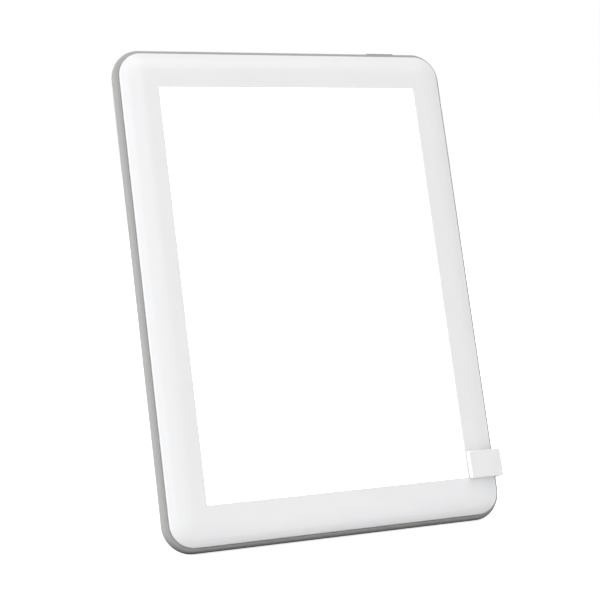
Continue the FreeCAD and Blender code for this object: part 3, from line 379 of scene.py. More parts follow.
def boolean(piece, other, operation):
    """Apply a boolean with another piece, which is used up."""
    modifier = piece.modifiers.new("Shape", "BOOLEAN")
    modifier.operation = operation
    modifier.solver = "EXACT"
    modifier.object = other
    activate(piece)
    bpy.ops.object.modifier_apply(modifier=modifier.name)
    bpy.data.objects.remove(other)


def cut(piece, *tools):
    for tool in tools:
        boolean(piece, tool, "DIFFERENCE")


def add(piece, *others):
    for other in others:
        boolean(piece, other, "UNION")


def leaned(piece):
    """Lean an upright piece back and set it down on the table."""
    turn = Euler((-LEAN, 0.0, 0.0))
    piece.rotation_euler = turn
    piece.location = -(turn.to_matrix() @ REST)
    apply_place(piece)
    return piece


def copied(piece, name, step):
    """A copy with its own mesh, moved by a step in millimetres."""
    twin = piece.copy()
    twin.data = piece.data.copy()
    twin.name = name
    twin.data.name = name
    bpy.context.collection.objects.link(twin)
    twin.location = Vector(step) * MM
    apply_place(twin)
    return twin


def finished(piece, body, slot, material, *nodes):
    """Shade a piece, give it its material and hand it to the body that carries it."""
    activate(piece)
    bpy.ops.object.mode_set(mode="EDIT")
    bpy.ops.mesh.select_mode(type="VERT")
    bpy.ops.mesh.select_all(action="SELECT")
    bpy.ops.mesh.remove_doubles(threshold=SAME_POINT)
    bpy.ops.mesh.normals_make_consistent(inside=False)
    bpy.ops.object.mode_set(mode="OBJECT")
    bpy.ops.object.shade_smooth_by_angle(angle=SMOOTH_ANGLE)
    weighted = piece.modifiers.new("Flats", "WEIGHTED_NORMAL")
    weighted.keep_sharp = True
    weighted.weight = 80
    bpy.ops.object.modifier_apply(modifier=weighted.name)
    piece.data.materials.clear()
    piece.data.materials.append(material)
    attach(piece, body)
    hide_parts(*nodes)


# ---------------------------------------------------------------- shared effects

def new_group(name, label, default, *outputs):
    """A shader node group with a vector and one number for inputs, and numbers for outputs."""
    group = bpy.data.node_groups.new(name, "ShaderNodeTree")
    group.interface.new_socket("Vector", in_out="INPUT", socket_type="NodeSocketVector")
    number = group.interface.new_socket(label, in_out="INPUT", socket_type="NodeSocketFloat")
    number.default_value = default
    for output in outputs:
        group.interface.new_socket(output, in_out="OUTPUT", socket_type="NodeSocketFloat")
    given = group.nodes.new("NodeGroupInput")
    result = group.nodes.new("NodeGroupOutput")
    return group, given.outputs["Vector"], given.outputs[label], result.inputs


def math_node(tree, operation, first, second=None, clamp=False):
    """A Math node from sockets or numbers; gives its result socket."""
    node = tree.nodes.new("ShaderNodeMath")
    node.operation = operation
    node.use_clamp = clamp
    for socket, source in zip(node.inputs, (first, second)):
        if source is None:
            continue
        if isinstance(source, (int, float)):
            socket.default_value = source
        else:
            tree.links.new(source, socket)
    return node.outputs[0]


def noise(tree, vector, scale, detail, roughness):
    """A noise texture's value; scale is a socket, per metre."""
    node = tree.nodes.new("ShaderNodeTexNoise")
    node.inputs["Detail"].default_value = detail
    node.inputs["Roughness"].default_value = roughness
    tree.links.new(vector, node.inputs["Vector"])
    tree.links.new(scale, node.inputs["Scale"])
    return node.outputs["Fac"]


def moulded_grain_group():
    """The fine etched texture of a mould, as a height, with a speckle that follows it."""
    group, place, grain, result = new_group("moulded_grain", "Grain", 1800.0, "Height", "Speckle")
    coarse = noise(group, place, grain, 3.0, 0.6)
    fine = noise(group, place, math_node(group, "MULTIPLY", grain, 3.1), 2.0, 0.5)
    height = math_node(group, "ADD", math_node(group, "MULTIPLY", coarse, 0.7),
                       math_node(group, "MULTIPLY", fine, 0.3))
    group.links.new(height, result["Height"])
    group.links.new(fine, result["Speckle"])
    return group


def handling_group():
    """Faint, broad differences in tone and gloss, as hands and packing leave them."""
    group, place, size, result = new_group("handling", "Size", 18.0, "Tone", "Gloss")
    tone = noise(group, place, size, 2.0, 0.45)
    smear = noise(group, place, math_node(group, "MULTIPLY", size, 4.3), 5.0, 0.6)
    gloss = math_node(group, "ADD", math_node(group, "MULTIPLY", tone, 0.5),
                      math_node(group, "MULTIPLY", smear, 0.5))
    group.links.new(tone, result["Tone"])
    group.links.new(gloss, result["Gloss"])
    return group


def brushed_group():
    """Long fine scratches along Z, as on rolled or drawn metal."""
    group, place, lines, result = new_group("brushed", "Lines", 2500.0, "Height", "Streak")
    stretch = group.nodes.new("ShaderNodeVectorMath")
    stretch.operation = "MULTIPLY"
    stretch.inputs[1].default_value = (1.0, 1.0, 0.02)
    group.links.new(place, stretch.inputs[0])
    streaks = noise(group, stretch.outputs[0], lines, 3.0, 0.6)
    group.links.new(streaks, result["Height"])
    group.links.new(streaks, result["Streak"])
    return group


def upright(group, vector):
    """The place on the lamp's own face: across in X and up in Y, whatever the lean."""
    rise = group.nodes.new("ShaderNodeVectorMath")
    rise.operation = "DOT_PRODUCT"
    rise.inputs[1].default_value = (0.0, math.sin(LEAN), math.cos(LEAN))
    group.links.new(vector, rise.inputs[0])
    axes = group.nodes.new("ShaderNodeSeparateXYZ")
    group.links.new(vector, axes.inputs[0])
    face = group.nodes.new("ShaderNodeCombineXYZ")
    group.links.new(axes.outputs["X"], face.inputs["X"])
    group.links.new(rise.outputs["Value"], face.inputs["Y"])
    return face.outputs[0]


def cells(group, vector, scale, feature, flat=True, randomness=1.0):
    """A Voronoi texture's distance; scale is a socket, in cells per metre."""
    node = group.nodes.new("ShaderNodeTexVoronoi")
    node.voronoi_dimensions = "2D" if flat else "3D"
    node.feature = feature
    node.inputs["Randomness"].default_value = randomness
    group.links.new(vector, node.inputs["Vector"])
    group.links.new(scale, node.inputs["Scale"])
    return node.outputs["Distance"]


def faded(group, value, low, high):
    """A mask that falls from one to nothing between two values."""
    node = group.nodes.new("ShaderNodeMapRange")
    node.inputs["From Min"].default_value = low
    node.inputs["From Max"].default_value = high
    node.inputs["To Min"].default_value = 1.0
    node.inputs["To Max"].default_value = 0.0
    group.links.new(value, node.inputs["Value"])
    return node.outputs["Result"]


def printed_dots_group():
    """A square grid of round printed dots."""
    group, place, dots, result = new_group("printed_dots", "Dots", 700.0, "Mask")
    distance = cells(group, upright(group, place), dots, "F1", randomness=0.0)
    group.links.new(faded(group, distance, 0.24, 0.3), result["Mask"])
    return group


def film_grooves_group():
    """Fine straight grooves that run up a film."""
    group, place, grooves, result = new_group("film_grooves", "Grooves", 4000.0, "Height")
    axes = group.nodes.new("ShaderNodeSeparateXYZ")
    group.links.new(place, axes.inputs[0])
    count = math_node(group, "MULTIPLY", axes.outputs["X"], grooves)
    height = math_node(group, "PINGPONG", count, 0.5)
    group.links.new(math_node(group, "MULTIPLY", height, 2.0), result["Height"])
    return group


def board_tracks_group():
    """Copper tracks under a circuit board's lacquer, with the weave of its glass cloth."""
    group, place, tracks, result = new_group("board_tracks", "Tracks", 350.0, "Track", "Weave")
    face = upright(group, place)
    distance = cells(group, face, tracks, "DISTANCE_TO_EDGE")
    group.links.new(faded(group, distance, 0.06, 0.1), result["Track"])
    closer = math_node(group, "MULTIPLY", tracks, 6.0)
    group.links.new(cells(group, face, closer, "F1", randomness=0.15), result["Weave"])
    return group


def foam_cells_group():
    """The open skin of a closed-cell foam."""
    group, place, count, result = new_group("foam_cells", "Cells", 2500.0, "Height")
    group.links.new(cells(group, place, count, "F1", flat=False), result["Height"])
    return group


GRAIN = moulded_grain_group()
HANDLING = handling_group()
BRUSHED = brushed_group()
DOTS = printed_dots_group()
GROOVES = film_grooves_group()
TRACKS = board_tracks_group()
FOAM_CELLS = foam_cells_group()


# ---------------------------------------------------------------- materials

# Where the values of a noise texture mostly lie
NOISE_LOW = 0.3
NOISE_HIGH = 0.7


def grey(level):
    return level, level, level


class Finish:
    """A material under construction: its tree, its shader and the object's own coordinates."""

    def __init__(self, name):
        self.material = bpy.data.materials.new(name)
        self.material.use_nodes = True
        self.tree = self.material.node_tree
        self.shader = self.tree.nodes["Principled BSDF"]
        self.place = self.tree.nodes.new("ShaderNodeTexCoord").outputs["Object"]

    def set(self, **sockets):
        """Set the shader's own sockets; an underscore stands for a space."""
        for name, content in sockets.items():
            self.shader.inputs[name.replace("_", " ")].default_value = content

    def effect(self, group, **inputs):
        """Place a shared effect with its own values."""
        node = self.tree.nodes.new("ShaderNodeGroup")
        node.node_tree = group
        self.tree.links.new(self.place, node.inputs["Vector"])
        for name, content in inputs.items():
            node.inputs[name].default_value = content
        return node.outputs

    def between(self, mask, low, high):
        """A number that runs from low to high with a mask."""
        node = self.tree.nodes.new("ShaderNodeMapRange")
        node.inputs["From Min"].default_value = NOISE_LOW
        node.inputs["From Max"].default_value = NOISE_HIGH
        node.inputs["To Min"].default_value = low
        node.inputs["To Max"].default_value = high
        self.tree.links.new(mask, node.inputs["Value"])
        return node.outputs["Result"]

    def colours(self, mask, first, second):
        """A colour that runs with a mask between two, each given as red, green and blue."""
        node = self.tree.nodes.new("ShaderNodeMix")
        node.data_type = "RGBA"
        for socket, content in ((node.inputs[6], first), (node.inputs[7], second)):
            socket.default_value = (*content, 1.0)
        self.tree.links.new(mask, node.inputs[0])
        return node.outputs[2]

    def feed(self, socket, source):
        self.tree.links.new(source, self.shader.inputs[socket])

    def bump(self, height, depth):
        """Raise the surface by a height; depth is in millimetres."""
        node = self.tree.nodes.new("ShaderNodeBump")
        node.inputs["Strength"].default_value = 1.0
        node.inputs["Distance"].default_value = depth * MM
        self.tree.links.new(height, node.inputs["Height"])
        self.feed("Normal", node.outputs["Normal"])


def moulded_plastic(name, light, dark, roughness, grain, depth):
    """Injection-moulded plastic: an even colour, an etched grain and slight wear in its gloss."""
    finish = Finish(name)
    surface = finish.effect(GRAIN, Grain=grain)
    hands = finish.effect(HANDLING)
    finish.feed("Base Color", finish.colours(finish.between(hands["Tone"], 0.0, 1.0), light, dark))
    low, high = roughness
    finish.feed("Roughness", finish.between(hands["Gloss"], low, high))
    finish.bump(surface["Height"], depth)
    return finish.material


def metal(name, light, dark, roughness, lines, depth):
    """Plated or rolled metal with fine scratches."""
    finish = Finish(name)
    scratches = finish.effect(BRUSHED, Lines=lines)
    finish.set(Metallic=1.0)
    streak = finish.between(scratches["Streak"], 0.0, 1.0)
    finish.feed("Base Color", finish.colours(streak, light, dark))
    low, high = roughness
    finish.feed("Roughness", finish.between(scratches["Streak"], low, high))
    finish.bump(scratches["Height"], depth)
    return finish.material


def rubber(name, light, dark, grain):
    """Matt silicone with a dusty bloom."""
    finish = Finish(name)
    surface = finish.effect(GRAIN, Grain=grain)
    hands = finish.effect(HANDLING, Size=60.0)
    finish.feed("Base Color", finish.colours(finish.between(hands["Tone"], 0.0, 1.0), light, dark))
    finish.feed("Roughness", finish.between(surface["Speckle"], 0.6, 0.8))
    finish.bump(surface["Height"], 0.03)
    finish.set(Sheen_Weight=0.15)
    return finish.material


WINDOW_GLOW = 1.6
PACKAGE_GLOW = 3.0


def opal_acrylic():
    """The lit window: even light with a hardly visible mottle from the sheets behind it."""
    finish = Finish("lit_opal_acrylic")
    surface = finish.effect(GRAIN, Grain=900.0)
    hands = finish.effect(HANDLING, Size=10.0)
    mottle = finish.between(hands["Tone"], 0.0, 1.0)
    finish.set(Base_Color=(*grey(0.82), 1.0), Emission_Strength=WINDOW_GLOW)
    finish.feed("Emission Color", finish.colours(mottle, (1.0, 1.0, 1.0),
                                                 (0.985, 0.99, 1.0)))
    finish.feed("Roughness", finish.between(hands["Gloss"], 0.32, 0.4))
    finish.bump(surface["Height"], 0.01)
    return finish.material


def clear_sheet(name, colour, group, output, depth, roughness, **inputs):
    """A clear sheet or film whose pattern catches the light."""
    finish = Finish(name)
    pattern = finish.effect(group, **inputs)[output]
    hands = finish.effect(HANDLING)
    finish.feed("Base Color", finish.colours(pattern, colour, grey(0.95)))
    low, high = roughness
    finish.feed("Roughness", finish.between(hands["Gloss"], low, high))
    finish.bump(pattern, depth)
    finish.set(Transmission_Weight=0.8, IOR=1.49)
    return finish.material


def circuit_board(name, lacquer, track, tracks):
    """A lacquered circuit board with its tracks showing through."""
    finish = Finish(name)
    pattern = finish.effect(TRACKS, Tracks=tracks)
    hands = finish.effect(HANDLING)
    finish.feed("Base Color", finish.colours(pattern["Track"], lacquer, track))
    finish.feed("Roughness", finish.between(hands["Gloss"], 0.28, 0.4))
    height = math_node(finish.tree, "ADD", pattern["Track"],
                       math_node(finish.tree, "MULTIPLY", pattern["Weave"], 0.3))
    finish.bump(height, 0.03)
    finish.set(Coat_Weight=0.3, Coat_Roughness=0.2)
    return finish.material


def lit_package():
    """White package with a lit yellowish face."""
    finish = Finish("lit_white_package")
    surface = finish.effect(GRAIN, Grain=3000.0)
    hands = finish.effect(HANDLING, Size=200.0)
    mottle = finish.between(hands["Tone"], 0.0, 1.0)
    finish.feed("Base Color", finish.colours(mottle, (0.88, 0.84, 0.7),
                                             (0.9, 0.87, 0.76)))
    finish.feed("Emission Color", finish.colours(mottle, (1.0, 0.97, 0.9),
                                                 (1.0, 0.94, 0.82)))
    finish.set(Emission_Strength=PACKAGE_GLOW)
    finish.feed("Roughness", finish.between(hands["Gloss"], 0.35, 0.5))
    finish.bump(surface["Height"], 0.01)
    return finish.material


def foam(name, light, dark):
    """Matt closed-cell foam."""
    finish = Finish(name)
    skin = finish.effect(FOAM_CELLS)["Height"]
    hands = finish.effect(HANDLING, Size=60.0)
    finish.feed("Base Color", finish.colours(skin, dark, light))
    finish.feed("Roughness", finish.between(hands["Gloss"], 0.85, 0.95))
    finish.bump(skin, 0.15)
    return finish.material


BEZEL_WHITE = moulded_plastic("satin_white_bezel", (0.85, 0.852, 0.86),
                              (0.84, 0.842, 0.852), (0.36, 0.44), 2400.0, 0.006)
SHELL_GREY = moulded_plastic("fine_grained_grey_shell", (0.366, 0.364, 0.359),
                             (0.353, 0.351, 0.346), (0.45, 0.55), 1900.0, 0.014)
STAND_WHITE = moulded_plastic("satin_white_stand", (0.86, 0.86, 0.862),
                              (0.85, 0.85, 0.852), (0.34, 0.42), 2400.0, 0.006)
BUTTON_GREY = moulded_plastic("smooth_grey_button", (0.355, 0.373, 0.378),
                              (0.342, 0.360, 0.365), (0.4, 0.48), 3200.0, 0.005)
OPAL = opal_acrylic()
STEEL = metal("zinc_plated_screws", (0.58, 0.59, 0.61), (0.48, 0.49, 0.51),
              (0.32, 0.44), 3000.0, 0.004)
NICKEL = metal("nickel_contact", (0.75, 0.72, 0.66), (0.66, 0.63, 0.58),
               (0.2, 0.3), 4000.0, 0.002)
ALUMINIUM = metal("rolled_aluminium", (0.52, 0.525, 0.53), (0.44, 0.445, 0.45),
                  (0.48, 0.6), 1500.0, 0.006)
SILICONE = rubber("grey_silicone_foot", (0.16, 0.165, 0.17), (0.13, 0.135, 0.14), 1500.0)
GRIP = rubber("clear_grey_silicone_grip", (0.55, 0.56, 0.57), (0.5, 0.51, 0.52), 1500.0)
INLET_BLACK = moulded_plastic("black_inlet", (0.02, 0.02, 0.021), (0.03, 0.03, 0.031),
                              (0.4, 0.5), 2600.0, 0.01)
WHITE_BOARD = circuit_board("white_lacquered_strip", (0.82, 0.82, 0.8),
                            (0.74, 0.73, 0.69), 500.0)
GREEN_BOARD = circuit_board("green_lacquered_board", (0.015, 0.11, 0.05),
                            (0.03, 0.2, 0.09), 350.0)
INNER_FINISHES = {
    "diffuser_panel": OPAL,
    "prism_film": clear_sheet("grooved_film", (0.9, 0.93, 0.96), GROOVES, "Height", 0.01,
                              (0.1, 0.2), Grooves=4000.0),
    "light_guide": clear_sheet("dotted_acrylic", (0.88, 0.93, 0.94), DOTS, "Mask", 0.01,
                               (0.05, 0.12), Dots=700.0),
    "reflector_sheet": moulded_plastic("white_reflecting_film", (0.9, 0.9, 0.9),
                                       (0.88, 0.88, 0.88), (0.25, 0.35), 5000.0, 0.002),
    "backing_tray": ALUMINIUM,
    "led_strip_right": WHITE_BOARD,
    "led_strip_left": WHITE_BOARD,
    "foam_strips": foam("dark_closed_cell_foam", (0.012, 0.012, 0.013),
                        (0.006, 0.006, 0.007)),
    "control_board": GREEN_BOARD,
    "driver_chip": moulded_plastic("black_chip", (0.012, 0.012, 0.013),
                                   (0.018, 0.018, 0.019), (0.5, 0.65), 6000.0, 0.008),
    "inductor": moulded_plastic("dark_ferrite", (0.05, 0.05, 0.052),
                                (0.035, 0.035, 0.036), (0.4, 0.6), 4000.0, 0.02),
    "capacitors": moulded_plastic("tan_ceramic", (0.36, 0.22, 0.1), (0.3, 0.18, 0.08),
                                  (0.3, 0.42), 6000.0, 0.004),
    "lead_connectors": moulded_plastic("cream_nylon", (0.72, 0.66, 0.5),
                                       (0.68, 0.62, 0.46), (0.4, 0.52), 3000.0, 0.008),
    "board_screws": STEEL,
    "tact_switch": moulded_plastic("black_nylon_switch", (0.02, 0.02, 0.021),
                                   (0.03, 0.03, 0.032), (0.4, 0.55), 4000.0, 0.008),
    "switch_plunger": moulded_plastic("red_nylon_plunger", (0.36, 0.02, 0.015),
                                      (0.3, 0.016, 0.012), (0.35, 0.5), 4000.0, 0.006),
}
LIT_PACKAGE = lit_package()
LEAD_JACKET = moulded_plastic("white_lead_jacket", (0.72, 0.72, 0.7), (0.66, 0.66, 0.64),
                              (0.3, 0.42), 3500.0, 0.01)
for side in ("right", "left"):
    INNER_FINISHES["leds_" + side] = LIT_PACKAGE
    INNER_FINISHES["lead_" + side] = LEAD_JACKET


# ---------------------------------------------------------------- bezel

def round_cornered(name, size, corner, y, segments):
    """A slab with a rounded outline, seen from the front."""
    piece = box(name, about(0, size[0] / 2), y, about(0, size[1] / 2))
    bevel(piece, along("Y"), corner, segments)
    return piece


def crown_steps():
    """How far in and how far forward each ring of the bezel's soft edge goes."""
    rise = CROWN_END - BEZEL_FRONT
    broad = ((CROWN_ROLL ** 2 + rise ** 2 - 2 * CROWN_ROLL * CROWN_EDGE)
             / (2 * (rise - CROWN_EDGE)))
    turn = math.atan2(CROWN_ROLL - CROWN_EDGE, broad - CROWN_EDGE)
    points = []
    edge_steps = 8
    broad_steps = 14
    for index in range(edge_steps + 1):
        angle = (math.pi / 2 - turn) * index / edge_steps
        points.append((CROWN_EDGE * (1 - math.cos(angle)), CROWN_EDGE * math.sin(angle)))
    for index in range(1, broad_steps + 1):
        angle = turn * (1 - index / broad_steps)
        points.append((CROWN_ROLL - broad * math.sin(angle), rise - broad * (1 - math.cos(angle))))
    return [(b[0] - a[0], b[1] - a[1]) for a, b in zip(points, points[1:])]


def bezel():
    """White frame: a crowned face, a sharp-cornered window, a skirt and four screw bosses."""
    piece = round_cornered("bezel", BEZEL, BEZEL_CORNER, (CROWN_END, SKIRT_BACK), 16)
    select_faces(piece, lambda middle, normal: normal.y < -FACING)
    for inward, forward in crown_steps():
        bpy.ops.mesh.inset(thickness=inward * MM, depth=forward * MM, use_even_offset=True)
    bpy.ops.object.mode_set(mode="OBJECT")
    inner = (BEZEL[0] - 2 * SKIRT_WALL, BEZEL[1] - 2 * SKIRT_WALL)
    roof_back = BEZEL_FRONT + BEZEL_WALL
    open_back = SKIRT_BACK + 3 * PAST
    hollow = round_cornered("hollow", inner, BEZEL_CORNER - SKIRT_WALL, (roof_back, open_back), 12)
    bevel(hollow, at("Y", roof_back), BEZEL_INNER_BEVEL, 1)
    half_width = WINDOW[0] / 2
    half_height = WINDOW[1] / 2
    window = box("window", about(0, half_width), (BEZEL_FRONT - 2 * PAST, open_back),
                 about(0, half_height))
    pocket = box("pocket", about(0, PANEL_POCKET[0] / 2), (0.0, BEZEL_WALL),
                 about(0, PANEL_POCKET[1] / 2))
    cut(piece, hollow, window, pocket)
    for x, z in BOSSES:
        add(piece, rod("boss", "Y", (x, z), (BOSS_ROOT, BOSS_JOINT), BOSS_DIAMETER))
        cut(piece, rod("pilot", "Y", (x, z), (SCREW_TIP - PILOT_SPARE, BOSS_JOINT + PAST),
                       PILOT_DIAMETER, 24))
    wing_reach = BUTTON_SIZE[0] / 2 + BUTTON_WING + BUTTON_NOTCH_SIDE
    cut(piece, box("button_notch", about(BUTTON_X, wing_reach), NOTCH, BUTTON_NOTCH_RISE),
        box("inlet_notch", INLET_NOTCH_SPAN, NOTCH, about(INLET_Z, INLET_NOTCH_HALF)))

    def window_rim(a, b):
        inside = all(abs(p.x) < half_width + PAST and abs(p.z) < half_height + PAST for p in (a, b))
        return inside and at("Y", BEZEL_FRONT)(a, b)
    bevel(piece, window_rim, WINDOW_ROUND, 3)
    finished(leaned(piece), "lamp", "bezel_white", BEZEL_WHITE, "front_bezel")


# ---------------------------------------------------------------- rear shell

def keyhole_tools(x):
    """The entry hole for a screw's head and the narrow slot above it."""
    span = (CAVITY_BACK - PAST, SHELL_BACK + PAST)
    top = KEYHOLE_Z + KEYHOLE_RISE
    return (rod("keyhole_entry", "Y", (x, KEYHOLE_Z), span, KEYHOLE_ENTRY),
            box("keyhole_slot", about(x, KEYHOLE_SLOT / 2), span, (KEYHOLE_Z, top)),
            rod("keyhole_top", "Y", (x, top), span, KEYHOLE_SLOT))


def shell():
    """Grey rear tray: rounded all round, ribbed inside, with its screw and keyhole openings."""
    piece = round_cornered("rear_shell", BODY, BODY_CORNER, (SHELL_FRONT, SHELL_BACK), 24)
    bevel(piece, at("Y", SHELL_FRONT), SHELL_FRONT_ROUND, 8)
    bevel(piece, at("Y", SHELL_BACK), SHELL_BACK_ROUND, 14)
    hollow = round_cornered("hollow", CAVITY, CAVITY_CORNER, (CAVITY_FRONT, CAVITY_BACK), 14)
    bevel(hollow, at("Y", CAVITY_BACK), CAVITY_BEVEL, 1)
    cut(piece, hollow)
    into_wall = CAVITY_BACK + PAST
    outside = SHELL_BACK + 2 * PAST
    rib = (RIB_FRONT, into_wall)
    for x in (-RIB_PITCH, 0.0, RIB_PITCH):
        add(piece, box("upright_rib", about(x, RIB_HALF), rib, UPRIGHT_RIB_SPAN))
    for step in (-RIB_PITCH, 0.0, RIB_PITCH):
        add(piece, box("cross_rib", about(0, CROSS_RIB_REACH), rib,
                       about(CROSS_RIB_MIDDLE + step, RIB_HALF)))
    for spot in BOSSES:
        add(piece, rod("boss", "Y", spot, (BOSS_JOINT, into_wall), SHELL_BOSS_DIAMETER))
        cut(piece,
            rod("screw_hole", "Y", spot, (BOSS_JOINT - 2 * PAST, outside), SCREW_HOLE_DIAMETER, 24),
            rod("screw_recess", "Y", spot, (SCREW_SEAT, outside), SCREW_RECESS_DIAMETER))
    for spot in BOARD_BOSSES:
        add(piece, rod("board_boss", "Y", spot, (BOARD_BACK, into_wall), BOARD_BOSS_DIAMETER))
        cut(piece, rod("board_pilot", "Y", spot, (BOARD_BACK - PAST, CAVITY_BACK),
                       BOARD_PILOT_DIAMETER, 24))
    half_length, half_width = (size / 2 + BUTTON_GAP for size in BUTTON_SIZE)
    slot = box("button_slot", about(BUTTON_X, half_length), about(BUTTON_Y, half_width),
               BUTTON_SLOT_RISE)
    bevel(slot, along("Z"), BUTTON_CORNER + BUTTON_GAP, 8)
    cut(piece, slot, rod("inlet_hole", "X", (INLET_Y, INLET_Z), (INLET_BODY[1], INLET_HOLE_END),
                         INLET_HOLE_DIAMETER))
    for x in (-KEYHOLE_X, KEYHOLE_X):
        cut(piece, *keyhole_tools(x))
    leaned(piece)
    half_length = BASE_FOOT_LENGTH / 2
    half_width = FOOT_WIDTH / 2
    heel = box("heel", about(0, half_length + HEEL_MARGIN), about(0, half_width + HEEL_MARGIN),
               HEEL_RISE)
    bevel(heel, along("Z"), FOOT_CORNER, 4)
    add(piece, heel)
    cut(piece, box("foot_recess", about(0, half_length), about(0, half_width),
                   about(0, BASE_FOOT_THICKNESS)))
    finished(piece, "lamp", "shell_grey", SHELL_GREY, "rear_cover")


# ---------------------------------------------------------------- button, inlet and screws

def power_button():
    """Rounded cap with two wings that hold it in and a stem that meets the switch."""
    half_length = BUTTON_SIZE[0] / 2
    half_width = BUTTON_SIZE[1] / 2
    across = about(BUTTON_Y, half_width)
    cap = box("power_button_cap", about(BUTTON_X, half_length), across, (BUTTON_BASE, BUTTON_TOP))
    bevel(cap, along("Z"), BUTTON_CORNER, 10)
    bevel(cap, at("Z", BUTTON_TOP), BUTTON_EDGE, 5)
    add(cap,
        box("wings", about(BUTTON_X, half_length + BUTTON_WING), across,
            (BUTTON_BASE, BUTTON_BASE + BUTTON_WING_HEIGHT)),
        box("stem", about(BUTTON_X, BUTTON_STEM[0] / 2), about(BUTTON_Y, BUTTON_STEM[1] / 2),
            (BUTTON_BASE - BUTTON_STEM_HEIGHT, BUTTON_BASE + BUTTON_STEM_ROOT)))
    finished(leaned(cap), "button", "button_grey", BUTTON_GREY, "power_button")


def power_inlet():
    """Black moulding on the board with a round nose, a bore and a slim contact in its middle."""
    middle = (INLET_Y, INLET_Z)
    piece = box("power_inlet", INLET_BODY, about(INLET_Y, INLET_HALF[0]),
                about(INLET_Z, INLET_HALF[1]))
    bevel(piece, along("X"), INLET_EDGE, 3)
    nose = rod("nose", "X", middle, (INLET_BODY[1] - PAST, INLET_FACE), NOSE_DIAMETER, 64)
    bevel(nose, at("X", INLET_FACE), NOSE_EDGE, 2)
    add(piece, nose)
    bore_end = INLET_FACE - BORE_DEPTH
    cut(piece, rod("bore", "X", middle, (bore_end, BORE_TOOL_END), BORE_DIAMETER))
    finished(leaned(piece), "lamp", "inlet_black", INLET_BLACK, "power_jack")
    pin_end = INLET_FACE - CONTACT_DEPTH
    pin = rod("inlet_contact", "X", middle, (bore_end, pin_end), CONTACT_DIAMETER, 32)
    bevel(pin, at("X", pin_end), CONTACT_TIP, 4)
    finished(leaned(pin), "lamp", "contact_nickel", NICKEL, "jack_pin")


def case_screws():
    """Four pan-head screws with a cross recess, one modelled and the others copied."""
    head_back = SCREW_SEAT + SCREW_HEAD_HEIGHT
    first = rod("case_screw_1", "Y", (0.0, 0.0), (SCREW_SEAT, head_back), SCREW_HEAD_DIAMETER)
    bevel(first, at("Y", head_back), SCREW_HEAD_ROUND, 5)
    add(first, rod("shank", "Y", (0.0, 0.0), (SCREW_TIP, SCREW_SEAT + SHANK_ROOT),
                   SHANK_DIAMETER, 32))
    for width, height in ((CROSS_LENGTH, CROSS_WIDTH), (CROSS_WIDTH, CROSS_LENGTH)):
        cut(first, box("cross_arm", about(0, width / 2),
                       (head_back - CROSS_DEPTH, head_back + PAST), about(0, height / 2)))
    x, z = BOSSES[0]
    first.location = Vector((x, 0.0, z)) * MM
    apply_place(first)
    screws = [first]
    for index, (other_x, other_z) in enumerate(BOSSES[1:], 2):
        screws.append(copied(first, "case_screw_%d" % index, (other_x - x, 0.0, other_z - z)))
    for screw in screws:
        finished(leaned(screw), "lamp", "screw_steel", STEEL, "case_screws")


def foot_strip(name, length, thickness, y, body, node):
    """A silicone strip that stands a little proud of its recess."""
    piece = box(name, about(0, length / 2), about(y, FOOT_WIDTH / 2), (0.0, thickness))
    bevel(piece, along("Z"), FOOT_CORNER, 6)
    bevel(piece, at("Z", 0.0), FOOT_ROUND, 3)
    finished(piece, body, "foot_silicone", SILICONE, node)


# ---------------------------------------------------------------- stand

def hook_band():
    """The band that runs from behind the lamp round its right edge to a short lip in front."""
    low, high = about(HOOK_Z, HOOK_HEIGHT / 2)
    band = box("clip_on_stand", (0.0, HOOK_INNER), (ARM_FRONT, ARM_BACK), (low, high))
    grown(band, lambda middle, normal: normal.x > FACING, (SIDE_WALL, 0, 0))

    def facing_front(middle, normal):
        return normal.y < -FACING and middle.x > HOOK_INNER
    grown(band, facing_front, (0, HOOK_INNER_FRONT - ARM_FRONT, 0))
    grown(band, facing_front, (0, -LIP_WALL, 0))

    def lip_end(middle, normal):
        return normal.x < -FACING and HOOK_FRONT < middle.y < HOOK_INNER_FRONT
    grown(band, lip_end, (LIP_END - HOOK_INNER, 0, 0))
    merged_flats(band)
    rising = along("Z")
    bevel(band, every(rising, at("X", HOOK_OUTER)), HOOK_ROUND, 14)
    bevel(band, every(rising, at("X", HOOK_INNER)), HOOK_INNER_ROUND, 10)
    bevel(band, every(rising, at("X", LIP_END)), LIP_END_ROUND, 3)
    open_end = at("X", 0.0)
    rims = either(at("Z", low), at("Z", high))
    bevel(band, every(rims, lambda a, b: not open_end(a, b)), BAND_ROUND, 4)
    return band


def back_plate():
    """The plate behind the lamp, flared on one side into the arm."""
    low = HOOK_Z - HOOK_HEIGHT / 2 + PLATE_INSET
    high = HOOK_Z + HOOK_HEIGHT / 2 - PLATE_INSET
    plate = box("plate", about(0, PLATE_HALF), (ARM_FRONT, ARM_BACK), (PLATE_LOW, PLATE_HIGH))
    select_faces(plate, lambda middle, normal: normal.x > FACING)
    flare = PLATE_FAR - PLATE_HALF
    bpy.ops.mesh.extrude_region_move(TRANSFORM_OT_translate={"value": (flare * MM, 0, 0)})
    narrowing = (high - low) / (PLATE_HIGH - PLATE_LOW)
    still = (low - narrowing * PLATE_LOW) / (1 - narrowing)
    bpy.ops.transform.resize(value=(1, 1, narrowing), center_override=(0, 0, still * MM))
    bpy.ops.object.mode_set(mode="OBJECT")
    bevel(plate, every(along("Y"), at("X", -PLATE_HALF)), PLATE_ROUND, 10)
    for corner, level in ((PLATE_HIGH, high), (PLATE_LOW, low)):
        turn = math.atan2(abs(corner - level), flare)
        bevel(plate, every(along("Y"), at("X", PLATE_HALF), at("Z", corner)),
              PLATE_ROUND * math.tan(turn / 2), 4)
    bevel(plate, at("Y", ARM_BACK), BAND_ROUND, 3)
    return plate


